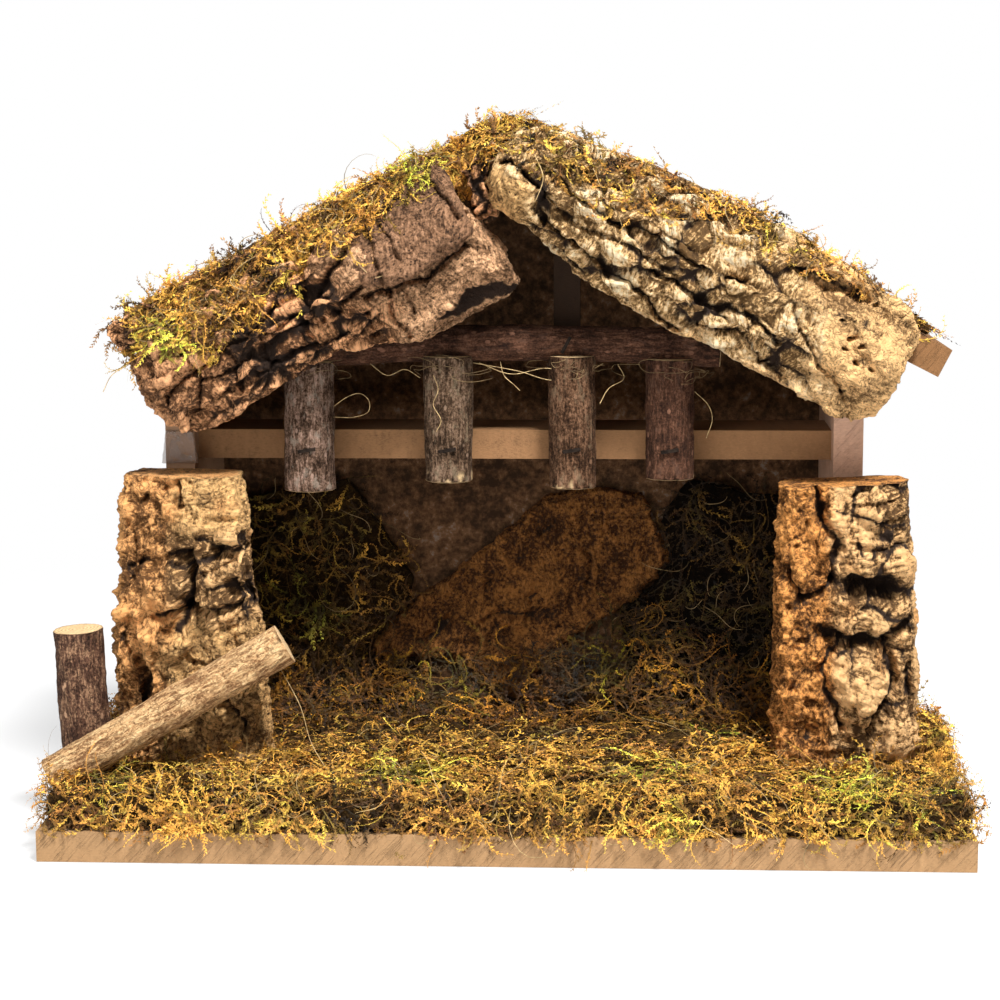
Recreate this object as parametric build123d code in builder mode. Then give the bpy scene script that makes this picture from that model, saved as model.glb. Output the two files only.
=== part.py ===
"""Rustic wooden nativity stable.

A small open-fronted house of sawn fibreboard stands on a wider base board. Cork bark dresses the roof's
front edges and the wall ends, short lengths of branch hang under a branch lintel, a stump and a leaning
log stand at the left, and dried moss is glued over the ground, the back wall and the roof.
Frame: X to the right, Y to the rear, Z up, origin in the middle of the base board's underside.
"""

import os
from math import cos, pi, radians, sin, sqrt, tan

from build123d import *

# Fibreboard carcass
BOARD = 10.0
PANEL = 6.0
HOUSE_WIDTH = 238.0
WALL_DEPTH = 60.0
WALL_HEIGHT = 152.2
YARD_DEPTH = 74.0
SIDE_MARGIN = 31.0
ROOF_PITCH = 27.0
LEFT_EAVE = 11.0
RIGHT_EAVE = 23.0
FRONT_OVERHANG = 12.0
REAR_OVERHANG = 2.0
RAIL_DROP = 32.2
RAIL_DEPTH = 30.0
RAIL_SETBACK = 8.0
KING_POST_WIDTH = 9.0
KING_POST_DEPTH = 10.0
KING_POST_OFFSET = 2.0
EDGE_BREAK = 0.6

# Fasteners: fine-wire staples and round brads
STAPLE_CROWN = 6.0
STAPLE_WIRE = 1.1
STAPLE_PROUD = 0.3
STAPLE_BITE = 9.0
STUB_STAPLE_TILT = 9.0
LINTEL_STAPLE_TILT = 62.0
PANEL_STAPLE_ROWS = 3
BRAD_DIAMETER = 1.4
BRAD_BITE = 14.0
BRAD_SET = 1.0
BRAD_INSET = 12.0

# Branch wood
LINTEL_DIAMETER = 13.0
LINTEL_LEFT_INSET = 42.0
LINTEL_RIGHT_INSET = 39.0
LINTEL_RISE = 2.0
LINTEL_COPE = 2.5
LINTEL_LIFT = 30.5
STUB_DIAMETER = 17.0
STUB_DROP = 7.0
# Each hanging stub: its share of the way along the lintel, and its diameter and drop over the named ones
HANGING_STUBS = ((-0.015, 1.06, 1.3), (0.332, 1.0, 0.85), (0.639, 0.97, 1.15), (0.88, 1.0, 0.7))
STUMP_DIAMETER = 17.0
STUMP_HEIGHT = 57.0
STUMP_LEAN = 3.0
STUMP_OUT = 6.3
STUMP_FORWARD = 2.6
LOG_DIAMETER = 14.0
LOG_LENGTH = 88.0
LOG_RISE = 28.8
LOG_SWING = 10.3
LOG_REACH = 35.5
LOG_BED = 4.5

# Cork bark
FASCIA_THICKNESS = 19.0
RIGHT_FASCIA_START = 2.0
RIGHT_FASCIA_END_GAP = 13.5
RIGHT_FASCIA_WIDTH = 46.0
RIGHT_FASCIA_RISE = 11.0
LEFT_FASCIA_START = 20.0
LEFT_FASCIA_END_GAP = 2.0
LEFT_FASCIA_WIDTH = 46.0
LEFT_FASCIA_RISE = 3.0
LEFT_FASCIA_SLANT = 33.0
LEFT_FASCIA_SLANT_LENGTH = 13.0
BACK_COVE = 0.8
CURL_WALL = 5.0
CURL_LENGTH = 60.0
SHELL_START = 25.0
SHELL_LENGTH = 40.0
SHELL_WIDTH = 32.5
SHELL_THICKNESS = 5.5
BARK_CLEARANCE = 0.4
PILLAR_DEPTH = 31.0
LEFT_PILLAR_WIDTH = 52.0
LEFT_PILLAR_HEADROOM = 43.2
LEFT_PILLAR_INWARD = 4.5
LEFT_PILLAR_LEAN = -3.5
LEFT_PILLAR_SHRINK = 11.0
LEFT_PILLAR_WAIST = 0.06
RIGHT_PILLAR_WIDTH = 50.0
RIGHT_PILLAR_HEADROOM = 44.2
RIGHT_PILLAR_INWARD = 1.5
RIGHT_PILLAR_LEAN = -1.0
RIGHT_PILLAR_SHRINK = 5.0
RIGHT_PILLAR_WAIST = 0.04
PLATE_LENGTH = 27.0
PLATE_WIDTH = 13.0
FURROW_DEPTH = 5.0
SLAB_THICKNESS = 6.0
SLAB_WIDTH = 112.0
SLAB_HEIGHT = 80.0
SLAB_X = -1.0
CHIP_THICKNESS = 9.0
EAVE_CHIP_LENGTH = 16.0
EAVE_CHIP_HEIGHT = 12.0
RIDGE_CHIP_WIDTH = 18.0
RIDGE_CHIP_HEIGHT = 34.0
RIDGE_CHIP_X = -8.5

# Dried moss and hot glue
GROUND_MOSS = 13.0
GROUND_MOSS_INSET = 0.5
GROUND_MOSS_ROUND = 2.75
MOSS_TAPER = 24.0
MOSS_CLEARANCE = 0.3
WALL_MOSS = 7.0
WALL_MOSS_LAP = 15.0
WALL_MOSS_HEIGHT = 84.0
ROOF_MOSS = 4.5
ROOF_MOSS_INSET = 2.0
GLUE_THICKNESS = 1.6
GLUE_HEIGHT = 12.0
GLUE_OVERLAP = 1.5
GLUE_BEAD = 7.0

# Places that follow from the sizes above
pitch = radians(ROOF_PITCH)
base_width = HOUSE_WIDTH + 2 * SIDE_MARGIN
base_depth = YARD_DEPTH + WALL_DEPTH + PANEL
base_front = -base_depth / 2
base_rear = base_depth / 2
wall_front = base_front + YARD_DEPTH
panel_front = base_rear - PANEL
wall_outer = HOUSE_WIDTH / 2
wall_inner = wall_outer - BOARD
wall_middle = wall_outer - BOARD / 2
roof_front = wall_front - FRONT_OVERHANG
roof_rear = base_rear + REAR_OVERHANG
left_run = wall_outer + LEFT_EAVE
right_run = wall_outer + RIGHT_EAVE
wall_head = BOARD + WALL_HEIGHT
ridge_height = wall_head + wall_outer * tan(pitch) + BOARD / cos(pitch)
rail_front = wall_front + RAIL_SETBACK
rail_top = wall_head - RAIL_DROP
rail_middle = rail_top - BOARD / 2
rail_under = rail_top - BOARD
left_pillar_height = WALL_HEIGHT - LEFT_PILLAR_HEADROOM
right_pillar_height = WALL_HEIGHT - RIGHT_PILLAR_HEADROOM
lintel_y = rail_front - LINTEL_DIAMETER / 2
lintel_left = LINTEL_LEFT_INSET - wall_inner
lintel_right = wall_inner - LINTEL_RIGHT_INSET
lintel_middle = (lintel_left + lintel_right) / 2
lintel_span = lintel_right - lintel_left
lintel_height = rail_top + LINTEL_LIFT
lintel_bend = lintel_span**2 / (8 * LINTEL_RISE) + LINTEL_RISE / 2


def roof_top(x):
    """Height of the roof boards' upper face above the ground, x from the ridge."""
    return ridge_height - abs(x) * tan(pitch)


def roof_under(x):
    """Height of the roof boards' lower face."""
    return roof_top(x) - BOARD / cos(pitch)


def lintel_axis(x):
    """Height of the bowed lintel's centre line."""
    return lintel_height - (lintel_bend - sqrt(lintel_bend**2 - (x - lintel_middle) ** 2))


def stub_sizes(share, thickness, hang):
    """Place, diameter and foot of a hanging stub."""
    return lintel_left + lintel_span * share, STUB_DIAMETER * thickness, rail_under - STUB_DROP * hang


def front_plane(y):
    """Upright plane facing the front: local x is X and local y is Z."""
    return Plane.XZ.offset(-y)


def relief(along, across):
    """Height of corky bark: plates of the named length and width with furrows between them."""
    wander = 0.3 * sin(2 * pi * along / (2.6 * PLATE_LENGTH))
    row = sin(2 * pi * (across / PLATE_WIDTH + wander))
    broken = sin(2 * pi * along / PLATE_LENGTH + 1.9 * row)
    return FURROW_DEPTH * (0.3 * row + 0.2 * broken)


def staple_profile(leg):
    """Outline of a staple lying in its own plane, crown along x at y = 0 and legs towards +y."""
    half = STAPLE_CROWN / 2
    inside = half - STAPLE_WIRE
    return [
        (-half, 0),
        (half, 0),
        (half, leg),
        (inside, leg),
        (inside, STAPLE_WIRE),
        (-inside, STAPLE_WIRE),
        (-inside, leg),
        (-half, leg),
    ]


def staple_plane(x, y, z, tilt, towards):
    """Plane of a staple driven along Y (towards +1 or -1), its crown tilted from the level."""
    crown = Vector(cos(radians(tilt)), 0, sin(radians(tilt)))
    drive = Vector(0, towards, 0)
    return Plane(origin=(x, y, z), x_dir=crown, z_dir=crown.cross(drive))


def draw_staple(plane, leg):
    """Adds one staple to the part that is being built."""
    with BuildSketch(plane) as outline:
        with BuildLine():
            Polyline(*staple_profile(leg), close=True)
        make_face()
    extrude(outline.sketch, amount=STAPLE_WIRE / 2, both=True)


# Middle of the king post, which stands behind the third stub
third_stub = HANGING_STUBS[2]
post_x = stub_sizes(*third_stub)[0] - KING_POST_OFFSET

# Staples through the hanging stubs into the rail, and through the lintel into the king post
with BuildPart() as lintel_staples:
    for stub_shares in HANGING_STUBS:
        stub_x, stub_diameter, _ = stub_sizes(*stub_shares)
        crown_y = rail_front - stub_diameter - STAPLE_PROUD
        draw_staple(
            staple_plane(stub_x, crown_y, rail_middle, STUB_STAPLE_TILT, 1),
            stub_diameter + STAPLE_PROUD + STAPLE_BITE,
        )
    draw_staple(
        staple_plane(
            post_x,
            rail_front - LINTEL_DIAMETER - STAPLE_PROUD,
            lintel_axis(post_x),
            LINTEL_STAPLE_TILT,
            1,
        ),
        LINTEL_DIAMETER + STAPLE_PROUD + STAPLE_BITE,
    )

# Staples through the back panel into the rear edges of the side walls
panel_staple_pitch = (roof_under(wall_outer) - BOARD) / PANEL_STAPLE_ROWS
with BuildPart() as panel_staples:
    for side in (-1, 1):
        for row in range(PANEL_STAPLE_ROWS):
            staple_z = BOARD + panel_staple_pitch * (row + 0.5)
            draw_staple(
                staple_plane(side * wall_middle, base_rear + STAPLE_PROUD, staple_z, 0, -1),
                PANEL + STAPLE_PROUD + STAPLE_BITE,
            )

# Brads up through the base board into the side walls
brad_rows = (wall_front + BRAD_INSET, panel_front - BRAD_INSET)
standing = (Align.CENTER, Align.CENTER, Align.MIN)
with BuildPart() as base_brads:
    with Locations(*[(s * wall_middle, y, BRAD_SET) for s in (-1, 1) for y in brad_rows]):
        Cylinder(BRAD_DIAMETER / 2, BOARD + BRAD_BITE - BRAD_SET, align=standing)

# Brads down through the roof boards into the side walls, set under the roof's face
roof_brad_top = roof_top(wall_middle) - BRAD_SET - BRAD_DIAMETER / 2
roof_brad_length = BOARD / cos(pitch) + BRAD_BITE
with BuildPart() as roof_brads:
    with Locations(
        *[(s * wall_middle, y, roof_brad_top - roof_brad_length) for s in (-1, 1) for y in brad_rows]
    ):
        Cylinder(BRAD_DIAMETER / 2, roof_brad_length, align=standing)

# Brads through the side walls into the ends of the cross rail
rail_brad_inset = RAIL_DEPTH / 4
with BuildPart() as rail_brads:
    for side in (-1, 1):
        for brad_y in (rail_front + rail_brad_inset, rail_front + RAIL_DEPTH - rail_brad_inset):
            brad_end = Plane(
                origin=(side * (wall_outer - BRAD_SET), brad_y, rail_middle),
                z_dir=(-side, 0, 0),
            )
            with BuildSketch(brad_end):
                Circle(BRAD_DIAMETER / 2)
            extrude(amount=BOARD + BRAD_BITE - BRAD_SET)

# Base board
with BuildPart() as base_board:
    with BuildSketch():
        Rectangle(base_width, base_depth)
    extrude(amount=BOARD)
    add(base_brads.part, mode=Mode.SUBTRACT)
    with Locations(*[(s * wall_middle, y, 0) for s in (-1, 1) for y in brad_rows]):
        Cylinder(BRAD_DIAMETER / 2, BRAD_SET, align=standing, mode=Mode.SUBTRACT)


def wall_profile(side):
    """Front outline of a side wall, its top bevelled to the roof's pitch."""
    return [
        (side * wall_inner, BOARD),
        (side * wall_outer, BOARD),
        (side * wall_outer, roof_under(wall_outer)),
        (side * wall_inner, roof_under(wall_inner)),
    ]


def cut_fasteners(*groups):
    """Takes driven fasteners out of the part that is being built, so that each sits in its own hole."""
    for group in groups:
        add(group.part, mode=Mode.SUBTRACT)


# Side walls, whose front edges show under the roof
with BuildPart() as left_wall:
    with BuildSketch(front_plane(wall_front)):
        with BuildLine():
            Polyline(*wall_profile(-1), close=True)
        make_face()
    extrude(amount=wall_front - panel_front)
    cut_fasteners(base_brads, roof_brads, rail_brads, panel_staples)

with BuildPart() as right_wall:
    with BuildSketch(front_plane(wall_front)):
        with BuildLine():
            Polyline(*wall_profile(1), close=True)
        make_face()
    extrude(amount=wall_front - panel_front)
    cut_fasteners(base_brads, roof_brads, rail_brads, panel_staples)

# Gable-shaped back panel, standing on the base board
with BuildPart() as back_panel:
    with BuildSketch(front_plane(panel_front)):
        with BuildLine():
            Polyline(
                (-wall_outer, BOARD),
                (wall_outer, BOARD),
                (wall_outer, roof_under(wall_outer)),
                (0, roof_under(0)),
                (-wall_outer, roof_under(wall_outer)),
                close=True,
            )
        make_face()
    extrude(amount=-PANEL)
    cut_fasteners(panel_staples)

# Cross rail, a strip laid flat between the side walls
with BuildPart() as cross_rail:
    with BuildSketch(front_plane(rail_front)):
        with Locations((0, rail_middle)):
            Rectangle(2 * wall_inner, BOARD)
    extrude(amount=-RAIL_DEPTH)
    cut_fasteners(rail_brads, lintel_staples)

# King post from the rail to the roof, cut to the pitch at its head
post_left = post_x - KING_POST_WIDTH / 2
post_right = post_x + KING_POST_WIDTH / 2
with BuildPart() as king_post:
    with BuildSketch(front_plane(rail_front)):
        with BuildLine():
            Polyline(
                (post_left, rail_top),
                (post_right, rail_top),
                (post_right, roof_under(post_right)),
                (post_left, roof_under(post_left)),
                close=True,
            )
        make_face()
    extrude(amount=-KING_POST_DEPTH)
    cut_fasteners(lintel_staples)


def roof_profile(side, run):
    """Front outline of a roof board: mitred at the ridge and cut square at the eave."""
    return [
        (0, roof_under(0)),
        (side * run, roof_under(run)),
        (side * (run + BOARD * sin(pitch)), roof_under(run) + BOARD * cos(pitch)),
        (0, ridge_height),
    ]


def roof_brad_mouths():
    """Opens the holes above the set brads."""
    with Locations(*[(s * wall_middle, y, roof_brad_top) for s in (-1, 1) for y in brad_rows]):
        Cylinder(BRAD_DIAMETER / 2, BOARD, align=standing, mode=Mode.SUBTRACT)


# Roof boards
with BuildPart() as left_roof_board:
    with BuildSketch(front_plane(roof_front)):
        with BuildLine():
            Polyline(*roof_profile(-1, left_run), close=True)
        make_face()
    extrude(amount=roof_front - roof_rear)
    cut_fasteners(roof_brads)
    roof_brad_mouths()

with BuildPart() as right_roof_board:
    with BuildSketch(front_plane(roof_front)):
        with BuildLine():
            Polyline(*roof_profile(1, right_run), close=True)
        make_face()
    extrude(amount=roof_front - roof_rear)
    cut_fasteners(roof_brads)
    roof_brad_mouths()

# Lintel: a slightly bowed branch against the king post, over the hanging stubs
with BuildPart() as lintel_branch:
    with BuildLine() as lintel_line:
        ThreePointArc(
            (lintel_left, lintel_y, lintel_axis(lintel_left)),
            (lintel_middle, lintel_y, lintel_height),
            (lintel_right, lintel_y, lintel_axis(lintel_right)),
        )
    with BuildSketch(Plane(origin=lintel_line.line @ 0, z_dir=lintel_line.line % 0)):
        Circle(LINTEL_DIAMETER / 2)
    sweep()
    chamfer(lintel_branch.edges().filter_by(GeomType.CIRCLE).group_by(SortBy.RADIUS)[0], EDGE_BREAK)
    cut_fasteners(lintel_staples)

# Short branch lengths that hang under the lintel, stapled to the rail's front edge
hanging_stubs = []
for number, stub_shares in enumerate(HANGING_STUBS, 1):
    stub_x, stub_diameter, stub_foot = stub_sizes(*stub_shares)
    stub_head = lintel_axis(stub_x) - LINTEL_DIAMETER / 2 + LINTEL_COPE
    with BuildPart() as stub:
        with BuildSketch(Plane.XY.offset(stub_foot)):
            with Locations((stub_x, rail_front - stub_diameter / 2)):
                Circle(stub_diameter / 2)
        extrude(amount=stub_head - stub_foot)
        chamfer(stub.faces().sort_by(Axis.Z)[0].edges(), EDGE_BREAK)
        cut_fasteners(lintel_branch, lintel_staples)
    hanging_stubs.append((f"hanging_stub_{number}", stub))


def bark_strip(stations):
    """Adds a loft through cross-sections, given as planes and closed polygons, to the part."""
    sections = []
    for plane, points in stations:
        with BuildSketch(plane) as section:
            with BuildLine():
                Polyline(*points, close=True)
            make_face()
        sections.append(section.sketch)
    loft(sections, ruled=True)


def slope_plane(side, distance):
    """Cross-section plane of a roof front edge at a distance down the slope from the ridge.
    Local x points up out of the roof and local y points to the front."""
    along = Vector(cos(pitch), 0, -side * sin(pitch))
    up = Vector(side * sin(pitch), 0, cos(pitch))
    down_slope = Vector(side * cos(pitch), 0, -sin(pitch))
    start = Vector(0, roof_front, ridge_height)
    return Plane(origin=start + down_slope * distance, x_dir=up, z_dir=along)


FASCIA_POINTS = 11
FASCIA_SPACING = 7.0
END_TUCK = 0.74
# Torn lower edges: shares of a slab's length from the ridge, and depths as shares of its width
RIGHT_TORN_EDGE = (
    (0.0, 0.8),
    (0.1, 0.81),
    (0.17, 0.87),
    (0.28, 0.99),
    (0.44, 1.02),
    (0.6, 0.99),
    (0.74, 0.98),
    (0.86, 1.01),
    (1.0, 1.02),
)
LEFT_TORN_EDGE = (
    (0.0, 1.15),
    (0.24, 1.17),
    (0.3, 1.16),
    (0.35, 1.09),
    (0.44, 1.01),
    (0.52, 0.96),
    (0.64, 0.98),
    (0.76, 1.0),
    (0.85, 1.04),
    (0.96, 0.99),
    (1.0, 0.8),
)


def fascia_section(distance, low, high, tuck, hollow=0.0):
    """Closed section of a slab of bark: crowned and furrowed at the front, at the back flat or hollowed
    to a thin curled lip at the lower edge."""
    middle = (low + high) / 2
    reach = (high - low) / 2 * tuck
    front = []
    for step in range(FASCIA_POINTS):
        share = step / (FASCIA_POINTS - 1)
        across = middle + reach - 2 * reach * share
        crown = 0.35 + 0.65 * sin(pi * (0.1 + 0.8 * share))
        front.append((across, FASCIA_THICKNESS * crown * tuck + relief(distance, across)))
    lip = hollow * max(0.0, front[-1][1] - CURL_WALL)
    cove = BACK_COVE + hollow * max(0.0, front[FASCIA_POINTS // 2][1] - CURL_WALL - BACK_COVE)
    return [(middle - reach, lip), (middle, cove), (middle + reach / 2, 0), (middle + reach, 0)] + front


def fascia_stations(side, start, length, low_edge, high_edge, hollow):
    """Planes and sections of a bark slab from its end near the ridge down the slope."""
    count = round(length / FASCIA_SPACING) + 1
    stations = []
    for step in range(count):
        share = step / (count - 1)
        distance = start + length * share
        tuck = END_TUCK if step in (0, count - 1) else 1.0
        section = fascia_section(distance, low_edge(share), high_edge(share), tuck, hollow(share))
        stations.append((slope_plane(side, distance), section))
    return stations


def broken_edge(places, share):
    """Height of a torn edge at a share of the slab's length, straight between the places given."""
    for (start, start_depth), (end, end_depth) in zip(places, places[1:]):
        if share <= end:
            return start_depth + (end_depth - start_depth) * (share - start) / (end - start)
    return places[-1][1]


# Right fascia: a long slab of rough bark from the ridge to the eave, narrowed towards the ridge
def right_fascia_low(share):
    """Lower edge, which rises where the slab narrows at the ridge."""
    return RIGHT_FASCIA_RISE - RIGHT_FASCIA_WIDTH * broken_edge(RIGHT_TORN_EDGE, share)


def right_fascia_high(share):
    """Upper edge, which comes down to the roof at both ends."""
    return RIGHT_FASCIA_RISE * (0.1 + 0.9 * sin(pi * (0.06 + 0.84 * share)))


def solid_back(share):
    """A slab that is flat all along its back."""
    return 0.0


right_eave = right_run / cos(pitch) + BOARD * tan(pitch)
right_fascia_length = right_eave - RIGHT_FASCIA_END_GAP - RIGHT_FASCIA_START
with BuildPart() as right_bark_fascia:
    bark_strip(
        fascia_stations(
            1, RIGHT_FASCIA_START, right_fascia_length, right_fascia_low, right_fascia_high, solid_back
        )
    )

# Left fascia: a slab that is rough at the eave and ends near the ridge in a thin curled lip
left_eave = left_run / cos(pitch) + BOARD * tan(pitch)
left_fascia_length = left_eave - LEFT_FASCIA_END_GAP - LEFT_FASCIA_START


def left_fascia_low(share):
    """Lower edge, which drops at the curled end and again towards the eave."""
    return LEFT_FASCIA_RISE - LEFT_FASCIA_WIDTH * broken_edge(LEFT_TORN_EDGE, share)


def left_fascia_high(share):
    """Upper edge, which slants down at the ridge and is cut down at the eave to make room for the chip."""
    distance = left_fascia_length * share
    eave = left_eave - EAVE_CHIP_LENGTH - LEFT_FASCIA_START
    notch = EAVE_CHIP_HEIGHT + BARK_CLEARANCE if distance > eave else 0.0
    slant = LEFT_FASCIA_SLANT * max(0.0, 1 - distance / LEFT_FASCIA_SLANT_LENGTH)
    return LEFT_FASCIA_RISE - notch - slant


def curled_back(share):
    """How far the back is hollowed out, most at the end near the ridge."""
    return max(0.0, 1 - share * left_fascia_length / CURL_LENGTH)


with BuildPart() as left_bark_fascia:
    bark_strip(
        fascia_stations(
            -1, LEFT_FASCIA_START, left_fascia_length, left_fascia_low, left_fascia_high, curled_back
        )[::-1]
    )

# Left shell: a smoother plate of bark over the upper part of the left fascia
SHELL_STATIONS = 9


def shell_section(share):
    """Closed section of the plate, thickest in its middle and bedded in the fascia's face."""
    width = SHELL_WIDTH * (0.85 + 0.15 * sin(pi * (0.1 + 0.8 * share)))
    face = FASCIA_THICKNESS * 0.62
    return [
        (LEFT_FASCIA_RISE, face / 2),
        (LEFT_FASCIA_RISE, face),
        (LEFT_FASCIA_RISE - width * 0.3, face + SHELL_THICKNESS * 0.9),
        (LEFT_FASCIA_RISE - width * 0.7, FASCIA_THICKNESS + SHELL_THICKNESS),
        (LEFT_FASCIA_RISE - width, FASCIA_THICKNESS + SHELL_THICKNESS * 0.6),
        (LEFT_FASCIA_RISE - width, FASCIA_THICKNESS * 0.86),
    ]


with BuildPart() as left_bark_shell:
    shell_shares = [step / (SHELL_STATIONS - 1) for step in reversed(range(SHELL_STATIONS))]
    bark_strip(
        [(slope_plane(-1, SHELL_START + SHELL_LENGTH * t), shell_section(t)) for t in shell_shares]
    )
    add(left_bark_fascia.part, mode=Mode.SUBTRACT)

# Chip of bark over the ridge joint, between the ends of the two fascias
chip_top = ridge_height
with BuildPart() as ridge_bark_chip:
    with BuildSketch(front_plane(roof_front)):
        with BuildLine():
            Polyline(
                (RIDGE_CHIP_X - RIDGE_CHIP_WIDTH / 2, chip_top - RIDGE_CHIP_HEIGHT * 0.42),
                (RIDGE_CHIP_X - RIDGE_CHIP_WIDTH * 0.1, chip_top - RIDGE_CHIP_HEIGHT),
                (RIDGE_CHIP_X + RIDGE_CHIP_WIDTH * 0.25, chip_top - RIDGE_CHIP_HEIGHT * 0.9),
                (RIDGE_CHIP_X + RIDGE_CHIP_WIDTH / 2, chip_top - RIDGE_CHIP_HEIGHT * 0.1),
                (RIDGE_CHIP_X + RIDGE_CHIP_WIDTH * 0.2, chip_top - RIDGE_CHIP_HEIGHT * 0.05),
                close=True,
            )
        make_face()
    extrude(amount=CHIP_THICKNESS, taper=12)
    add(right_bark_fascia.part, mode=Mode.SUBTRACT)
    add(left_bark_fascia.part, mode=Mode.SUBTRACT)

# Chip of bark that closes the left roof board's end at the eave
with BuildPart() as left_eave_chip:
    with BuildSketch(slope_plane(-1, left_eave - EAVE_CHIP_LENGTH)):
        with Locations((-EAVE_CHIP_HEIGHT / 2 + LEFT_FASCIA_RISE, CHIP_THICKNESS / 2)):
            RectangleRounded(EAVE_CHIP_HEIGHT, CHIP_THICKNESS, CHIP_THICKNESS / 4)
    extrude(amount=-EAVE_CHIP_LENGTH, taper=4)
    add(left_bark_fascia.part, mode=Mode.SUBTRACT)


# Bark pillars: lumps of cork glued to the front edges of the side walls, standing on the base board
PILLAR_STATIONS = 15
PILLAR_FRONT_POINTS = 9


def pillar_section(middle_x, width, height, share, lean, belly, shrink):
    """Closed section of a pillar at a share of its height: flat at the back, lumpy at the front."""
    waist = 1 - belly * (1 - sin(pi * min(1.0, share + 0.25)))
    half = (width - shrink * share**3) / 2 * waist
    middle = middle_x + lean * (share - 0.5)
    depth = PILLAR_DEPTH * (1 - 0.2 * share**4)
    along = height * share
    points = [(middle + half * 0.86, wall_front), (middle + half, wall_front - depth * 0.35)]
    for step in range(PILLAR_FRONT_POINTS):
        across = 1 - 2 * step / (PILLAR_FRONT_POINTS - 1)
        crown = 0.78 + 0.1 * cos(pi / 2 * across)
        front = wall_front - depth * crown + relief(along, half * across)
        points.append((middle + half * 0.9 * across, front))
    points += [(middle - half, wall_front - depth * 0.4), (middle - half * 0.86, wall_front)]
    return points


def pillar_stations(middle_x, width, height, lean, belly, shrink):
    """Planes and sections of a pillar from its foot to its cut top."""
    shares = [step / (PILLAR_STATIONS - 1) for step in range(PILLAR_STATIONS)]
    return [
        (
            Plane.XY.offset(BOARD + height * share),
            pillar_section(middle_x, width, height, share, lean, belly, shrink),
        )
        for share in shares
    ]


with BuildPart() as left_bark_pillar:
    left_pillar_x = LEFT_PILLAR_INWARD - wall_middle
    bark_strip(
        pillar_stations(
            left_pillar_x,
            LEFT_PILLAR_WIDTH,
            left_pillar_height,
            LEFT_PILLAR_LEAN,
            LEFT_PILLAR_WAIST,
            LEFT_PILLAR_SHRINK,
        )
    )

with BuildPart() as right_bark_pillar:
    right_pillar_x = wall_middle - RIGHT_PILLAR_INWARD
    bark_strip(
        pillar_stations(
            right_pillar_x,
            RIGHT_PILLAR_WIDTH,
            right_pillar_height,
            RIGHT_PILLAR_LEAN,
            RIGHT_PILLAR_WAIST,
            RIGHT_PILLAR_SHRINK,
        )
    )

# Flat slab of bark on the back panel, leaning up to the right out of the ground moss
slab_foot = BOARD + GROUND_MOSS + MOSS_CLEARANCE
with BuildPart() as back_bark_slab:
    with BuildSketch(front_plane(panel_front)) as slab_face:
        with BuildLine():
            slab_outline = [
                (-0.5, 0.2),
                (-0.38, 0.42),
                (-0.15, 0.66),
                (0.1, 0.96),
                (0.22, 1.0),
                (0.41, 0.97),
                (0.5, 0.67),
                (0.39, 0.48),
                (0.13, 0.24),
                (0.0, 0.0),
                (-0.18, 0.19),
            ]
            slab_points = [(SLAB_X + SLAB_WIDTH * u, slab_foot + SLAB_HEIGHT * v) for u, v in slab_outline]
            Polyline(*slab_points, close=True)
        make_face()
    extrude(amount=SLAB_THICKNESS, taper=15)

# Standing stump beside the left pillar's outer front corner, leaning a little outwards
pillar_box = left_bark_pillar.part.bounding_box()
stump_x = pillar_box.min.X - STUMP_OUT
stump_y = pillar_box.min.Y - STUMP_FORWARD
with BuildPart() as standing_stump:
    with BuildSketch(Plane.XY.offset(BOARD)):
        with Locations((stump_x, stump_y)):
            Circle(STUMP_DIAMETER / 2)
    with BuildSketch(Plane.XY.offset(BOARD + STUMP_HEIGHT)):
        with Locations((stump_x - STUMP_LEAN, stump_y)):
            Circle(STUMP_DIAMETER / 2)
    loft(ruled=True)
    chamfer(standing_stump.faces().sort_by(Axis.Z)[-1].edges(), EDGE_BREAK)

# Log that lies in the moss at its low end and leans across the left pillar
log_rise = radians(LOG_RISE)
log_swing = radians(LOG_SWING)
log_along = Vector(cos(log_rise) * cos(log_swing), cos(log_rise) * sin(log_swing), sin(log_rise))
log_head_x = LEFT_PILLAR_INWARD - wall_middle + LOG_REACH
log_head_z = BOARD + LOG_BED + LOG_DIAMETER / 2 + LOG_LENGTH * sin(log_rise)
log_head = Vector(log_head_x, pillar_box.min.Y - LOG_DIAMETER / 2, log_head_z)
with BuildPart() as leaning_log:
    with BuildSketch(Plane(origin=log_head - log_along * LOG_LENGTH, z_dir=log_along)):
        Circle(LOG_DIAMETER / 2)
    extrude(amount=LOG_LENGTH)
    chamfer(leaning_log.edges().filter_by(GeomType.CIRCLE), EDGE_BREAK)

# Ground moss: one mat over the base board, fitted around everything that stands on the board
moss_around = (left_bark_pillar, right_bark_pillar, standing_stump, leaning_log)
with BuildPart() as ground_moss:
    with BuildSketch(Plane.XY.offset(BOARD)):
        Rectangle(base_width - 2 * GROUND_MOSS_INSET, base_depth - 2 * GROUND_MOSS_INSET)
    extrude(amount=GROUND_MOSS)
    chamfer(ground_moss.faces().sort_by(Axis.Z)[-1].edges(), GROUND_MOSS_ROUND)
    with BuildSketch(Plane.XY.offset(BOARD)):
        with Locations(*[(s * wall_middle, wall_front + WALL_DEPTH / 2) for s in (-1, 1)]):
            Rectangle(BOARD + 2 * MOSS_CLEARANCE, WALL_DEPTH + 2 * MOSS_CLEARANCE)
        with Locations((0, panel_front + PANEL / 2)):
            Rectangle(HOUSE_WIDTH + 2 * MOSS_CLEARANCE, PANEL + 2 * MOSS_CLEARANCE)
    extrude(amount=GROUND_MOSS, mode=Mode.SUBTRACT)
    for neighbour in moss_around:
        add(neighbour.part, mode=Mode.SUBTRACT)

# Moss on the back panel, to the left and right of the slab
wall_moss_foot = BOARD + GROUND_MOSS + MOSS_CLEARANCE


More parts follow.
